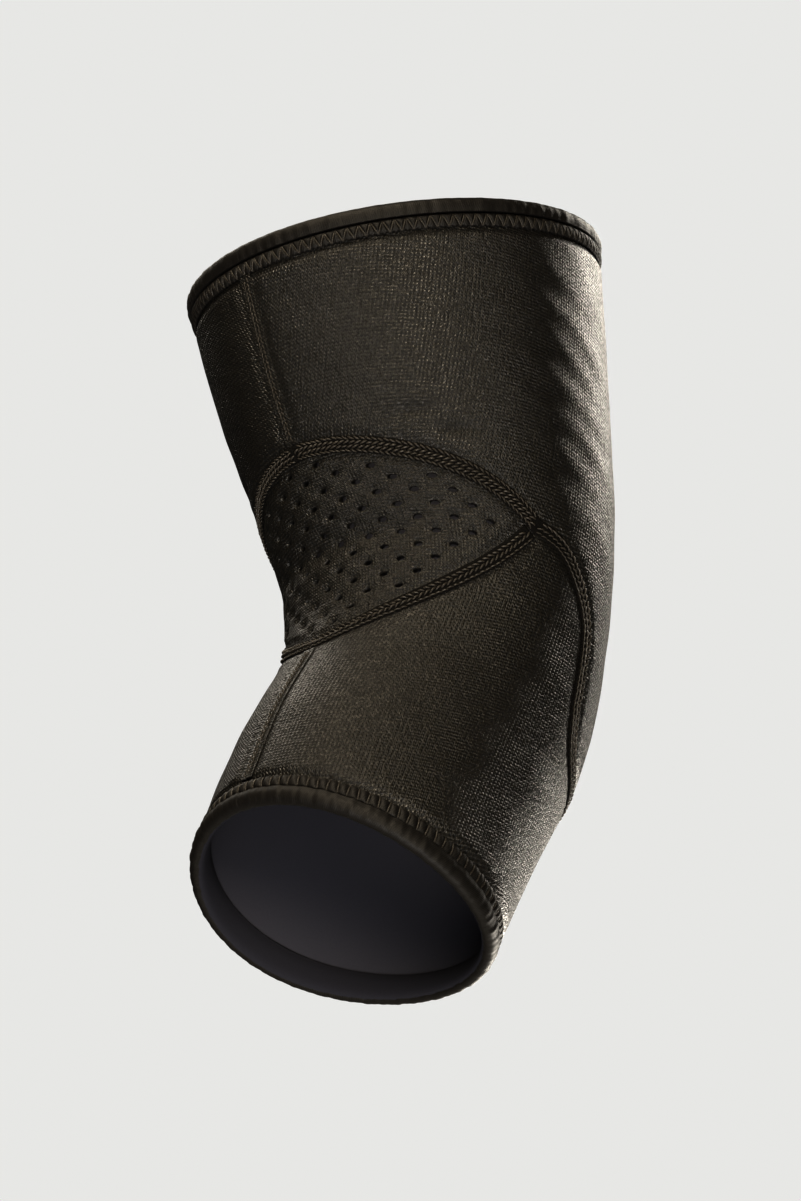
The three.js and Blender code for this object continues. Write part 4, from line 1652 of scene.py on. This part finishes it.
@dataclass(frozen=True)
class ThreadFinish:
    """Twisted yarn: slanted plies along each thread."""

    name: str
    dark: Triple = (0.0020, 0.0016, 0.0012)
    light: Triple = (0.0640, 0.0540, 0.0420)
    roughness: float = 0.4

    def build(self) -> Material:
        """Makes the material from the turn round the thread and the length along it."""
        tree = Tree(self.name)
        _, x, y = tree.cut()
        place = tree.add("TexCoord").outputs["Object"]
        turn = tree.math("MULTIPLY_ADD", y, 1.6, tree.math("MULTIPLY", x, 2.0))
        ply = tree.swing(tree.math("MULTIPLY", turn, 2 * math.pi))
        fuzz = tree.noise(place, 2600.0, 2.0)
        shade = tree.math("MULTIPLY_ADD", ply, 0.55, tree.math("MULTIPLY", fuzz, 0.6))
        return tree.finish(tree.blend(shade, self.dark, self.light), self.roughness, shade, depth=0.00005,
                           specular=0.5, sheen=0.02, sheen_tint=(0.8, 0.72, 0.62))


@dataclass(frozen=True)
class BandFinish:
    """Soft cloth of the hems and seams, with fine slanted hair lines across it."""

    name: str
    dark: Triple = (0.0022, 0.0017, 0.0013)
    light: Triple = (0.0150, 0.0128, 0.0105)
    roughness: float = 0.55
    specular: float = 0.3
    line: float = 0.55  # distance between the hair lines, in millimetres

    def build(self) -> Material:
        """Makes the material from the length round the edge and the distance from it."""
        tree = Tree(self.name)
        cut, x, y = tree.cut()
        wander = tree.math("MULTIPLY", tree.noise(cut, 0.9, 3.0), 5.0)
        slant = tree.math("MULTIPLY_ADD", y, 0.5, x)
        hair = tree.swing(tree.math("MULTIPLY_ADD", slant, 2 * math.pi / self.line, wander))
        fuzz = tree.noise(cut, 4.0, 3.0)
        shade = tree.math("MULTIPLY_ADD", hair, 0.45, tree.math("MULTIPLY", fuzz, 0.6))
        color = tree.blend(tree.ramp(shade, 0.1, 0.95), self.dark, self.light)
        return tree.finish(color, self.roughness, shade, depth=0.00009, specular=self.specular, sheen=0.01,
                           sheen_tint=(0.78, 0.7, 0.62))


@dataclass(frozen=True)
class StudioCamera:
    """The camera: where it stands round the object, how it is tilted, and its lens.

    Attributes:
        azimuth: its angle round from the front, elevation its angle up, and roll its tilt.
        distance: how far it stands off, side and rise how far it is moved square to its view.
        focal_pixels: its focal length, and picture_height the picture's height, both in pixels.
        sensor_height: height of its sensor, in millimetres.
    """

    azimuth: float = math.radians(44.48)
    elevation: float = math.radians(-14.21)
    roll: float = math.radians(-10.9)
    distance: float = 0.98909
    side: float = 0.01279
    rise: float = -0.00607
    focal_pixels: float = 3479.83
    picture_height: float = 1201.0
    sensor_height: float = 36.0

    def build(self) -> None:
        """Makes the camera and shows the scene through it."""
        back = towards(self.azimuth, self.elevation)
        level = Vector((math.cos(self.azimuth), math.sin(self.azimuth), 0.0))
        above = back.cross(level)
        right = level * math.cos(self.roll) + above * math.sin(self.roll)
        up = above * math.cos(self.roll) - level * math.sin(self.roll)
        eye = back * self.distance - right * self.side - up * self.rise
        data = bpy.data.cameras.new("camera")
        data.sensor_fit = "VERTICAL"
        data.sensor_height = self.sensor_height
        data.lens = self.focal_pixels / self.picture_height * self.sensor_height
        camera = bpy.data.objects.new("camera", data)
        turned = Matrix((right, up, back)).transposed().to_4x4()
        camera.matrix_world = Matrix.Translation(eye) @ turned
        bpy.context.scene.collection.objects.link(camera)
        bpy.context.scene.camera = camera


@dataclass(frozen=True)
class Softbox:
    """A lamp behind a square cloth, with its direction from the object in degrees."""

    name: str
    azimuth: float
    elevation: float
    power: float
    color: Triple
    size: float = 0.5
    distance: float = 1.3

    def build(self) -> None:
        """Makes the lamp and aims it at the object."""
        way = towards(math.radians(self.azimuth), math.radians(self.elevation))
        data = bpy.data.lights.new(self.name, "AREA")
        data.shape = "SQUARE"
        data.size = self.size
        data.energy = self.power
        data.color = self.color
        lamp = bpy.data.objects.new(self.name, data)
        lamp.rotation_mode = "QUATERNION"
        lamp.rotation_quaternion = way.to_track_quat("Z", "Y")
        lamp.location = way * self.distance
        bpy.context.scene.collection.objects.link(lamp)


@dataclass(frozen=True)
class Studio:
    """The pale room: backdrop, floor and lights, and how the picture is graded.

    Attributes:
        backdrop: the backdrop's colour.
        ambient: how much of it lights the object.
        floor_drop: how far below the object the floor lies, and floor_half its half width.
        gamma: the picture's gamma, low because the photograph is graded dark and high in contrast.
        lights: the lamps.
    """

    backdrop: Triple = (0.851, 0.851, 0.838)
    ambient: float = 0.008
    floor_drop: float = 1.2
    floor_half: float = 3.0
    gamma: float = 0.72
    lights: tuple[Softbox, ...] = (
        Softbox("key", 47, 10, 14.0, (1.0, 0.88, 0.68), size=0.4),
        Softbox("crown", 20, 66, 19.0, (1.0, 0.88, 0.69)),
        Softbox("rim_right", 185, 23, 14.0, (1.0, 0.94, 0.84)),
        Softbox("rim_low", 205, -23, 18.0, (1.0, 0.94, 0.84)),
        Softbox("rim_left", -112, 44, 5.0, (1.0, 0.94, 0.84)),
        Softbox("mouth", 34, -34, 18.0, (1.0, 0.97, 0.93)),
    )

    def build(self) -> None:
        """Makes the backdrop's world, the floor and the lights, and sets the grading."""
        self.room()
        self.floor()
        for lamp in self.lights:
            lamp.build()
        view = bpy.context.scene.view_settings
        view.view_transform = "Standard"
        view.gamma = self.gamma

    def room(self) -> None:
        """Makes a world that is pale to the camera and lights the object only a little."""
        world = bpy.data.worlds.new("studio")
        world.use_nodes = True
        nodes, links = world.node_tree.nodes, world.node_tree.links
        nodes.clear()
        seen, lit = nodes.new("ShaderNodeBackground"), nodes.new("ShaderNodeBackground")
        for shade, strength in ((seen, 1.0), (lit, self.ambient)):
            shade.inputs[0].default_value = (*self.backdrop, 1.0)
            shade.inputs[1].default_value = strength
        path = nodes.new("ShaderNodeLightPath")
        choose = nodes.new("ShaderNodeMixShader")
        links.new(path.outputs["Is Camera Ray"], choose.inputs[0])
        links.new(lit.outputs[0], choose.inputs[1])
        links.new(seen.outputs[0], choose.inputs[2])
        output = nodes.new("ShaderNodeOutputWorld")
        links.new(choose.outputs[0], output.inputs[0])
        bpy.context.scene.world = world

    def floor(self) -> None:
        """Makes a plain pale floor far below the object, which hangs in the air as in the photograph.

        Seen directly it is as bright as the backdrop, while it sends only the lamps' own light back up.
        """
        corners = self.floor_half * np.array([[-1, -1], [1, -1], [1, 1], [-1, 1]])
        points = np.column_stack([corners, np.full(4, -self.floor_drop)])
        tree = Tree("floor_paint")
        place = tree.add("TexCoord").outputs["Object"]
        dull, bright = (tuple(share * c for c in self.backdrop) for share in (0.97, 0.99))
        paint = tree.blend(tree.noise(place, 3.0, 2.0), dull, bright)
        lit, seen = tree.add("BsdfDiffuse", {"Color": paint}), tree.add("Emission", {"Color": paint})
        choose = tree.add("MixShader", {0: tree.add("LightPath").outputs["Is Camera Ray"],
                                        1: lit.outputs[0], 2: seen.outputs[0]})
        tree.feed(tree.add("OutputMaterial").inputs["Surface"], choose.outputs[0])
        floor = Surface(points, np.array([[0, 1, 2, 3]]), corners / MM).to_object("floor", [tree.material])


def seam_paths(plan: SeamPlan, relief: Relief) -> list[SeamStitching]:
    """Lays out the four seams of the brace.

    Args:
        plan: where the seams run.
        relief: the cloth, which says where the hems' stitching begins.

    Returns:
        The seams, each ready to be stitched.
    """
    form = plan.form
    back_home = plan.elbow[-2:0:-1] * [-1, 1] + [2 * np.pi, 0]
    ring = SeamPath(form, np.concatenate([plan.elbow, back_home]), closed=True)
    low = SeamPath(form, np.concatenate([plan.crook_low[:0:-1] * [-1, 1], plan.crook_low]))
    samples = np.linspace(0, low.length / 2, 400)
    gap, _ = plan.nearest([plan.elbow], *low.at(low.length / 2 + samples))
    clear = float(samples[gap > plan.width / 2 + 2 * plan.lay_gap].max())
    crook = SeamPath(form, plan.crook_edge(np.linspace(0.0, 1.0, 61), Rim.TOP)).length
    round_elbow = (Stretch(0.0, crook, Braid.CROOK_EDGE), Stretch(crook, ring.length - crook, Braid.TONGUE),
                   Stretch(ring.length - crook, ring.length, Braid.CROOK_EDGE))
    under = (Stretch(low.length / 2 - clear, low.length / 2 + clear, Braid.CROOK_FOOT),)
    seams = [SeamStitching(plan, "elbow_seam", ring, round_elbow),
             SeamStitching(plan, "crook_lower_seam", low, under)]
    for name, line in (("upper_front_seam", plan.upper_front), ("forearm_front_seam", plan.forearm_front)):
        path = SeamPath(form, line)
        start, end = plan.width / 2 + plan.lay_gap, path.length - relief.stitching_end - plan.lay_gap
        seams.append(SeamStitching(plan, name, path, (Stretch(start, end, Braid.FRONT),)))
    return seams


def main() -> None:
    """Builds the brace piece by piece, then the camera and the studio."""
    logging.basicConfig(level=logging.INFO, format="%(name)s: %(message)s")
    form = SleeveForm()
    plan = SeamPlan(form)
    relief = Relief(plan)
    knit = KnitFinish("knit").build()
    pierced = KnitFinish("perforated_knit", wale=1.0, course=0.85).build()
    lining = LiningFinish("lining").build()
    thread = ThreadFinish("seam_thread").build()
    band = BandFinish("seam_band", dark=(0.0006, 0.0005, 0.0004), light=(0.0100, 0.0085, 0.0067),
                      roughness=0.9, specular=0.15).build()
    fold = BandFinish("folded_edge").build()
    UpperPanel(relief).build([knit, lining])
    ForearmPanel(relief).build([knit, lining])
    CrookPanel(relief).build([pierced, lining])
    for seam in seam_paths(plan, relief):
        seam.build(knit if seam.stretches[0].braid is Braid.FRONT else band, thread)
    # Painted shade: the lining at half its colour for the hems' turned-in cloth, so that this ring, which the
    # lamps light more than the deeper inside, looks as dark as it.
    painted_shade_lining = LiningFinish("lining_painted_shade", (0.030, 0.030, 0.038)).build()
    Hem(relief, Rim.TOP).build(fold, painted_shade_lining, thread)
    Hem(relief, Rim.BOTTOM, zigzag=0.0058, pucker=0.00008).build(fold, painted_shade_lining, thread)
    StudioCamera().build()
    Studio().build()
    LOG.info("sizes written")


if __name__ == "__main__":
    main()
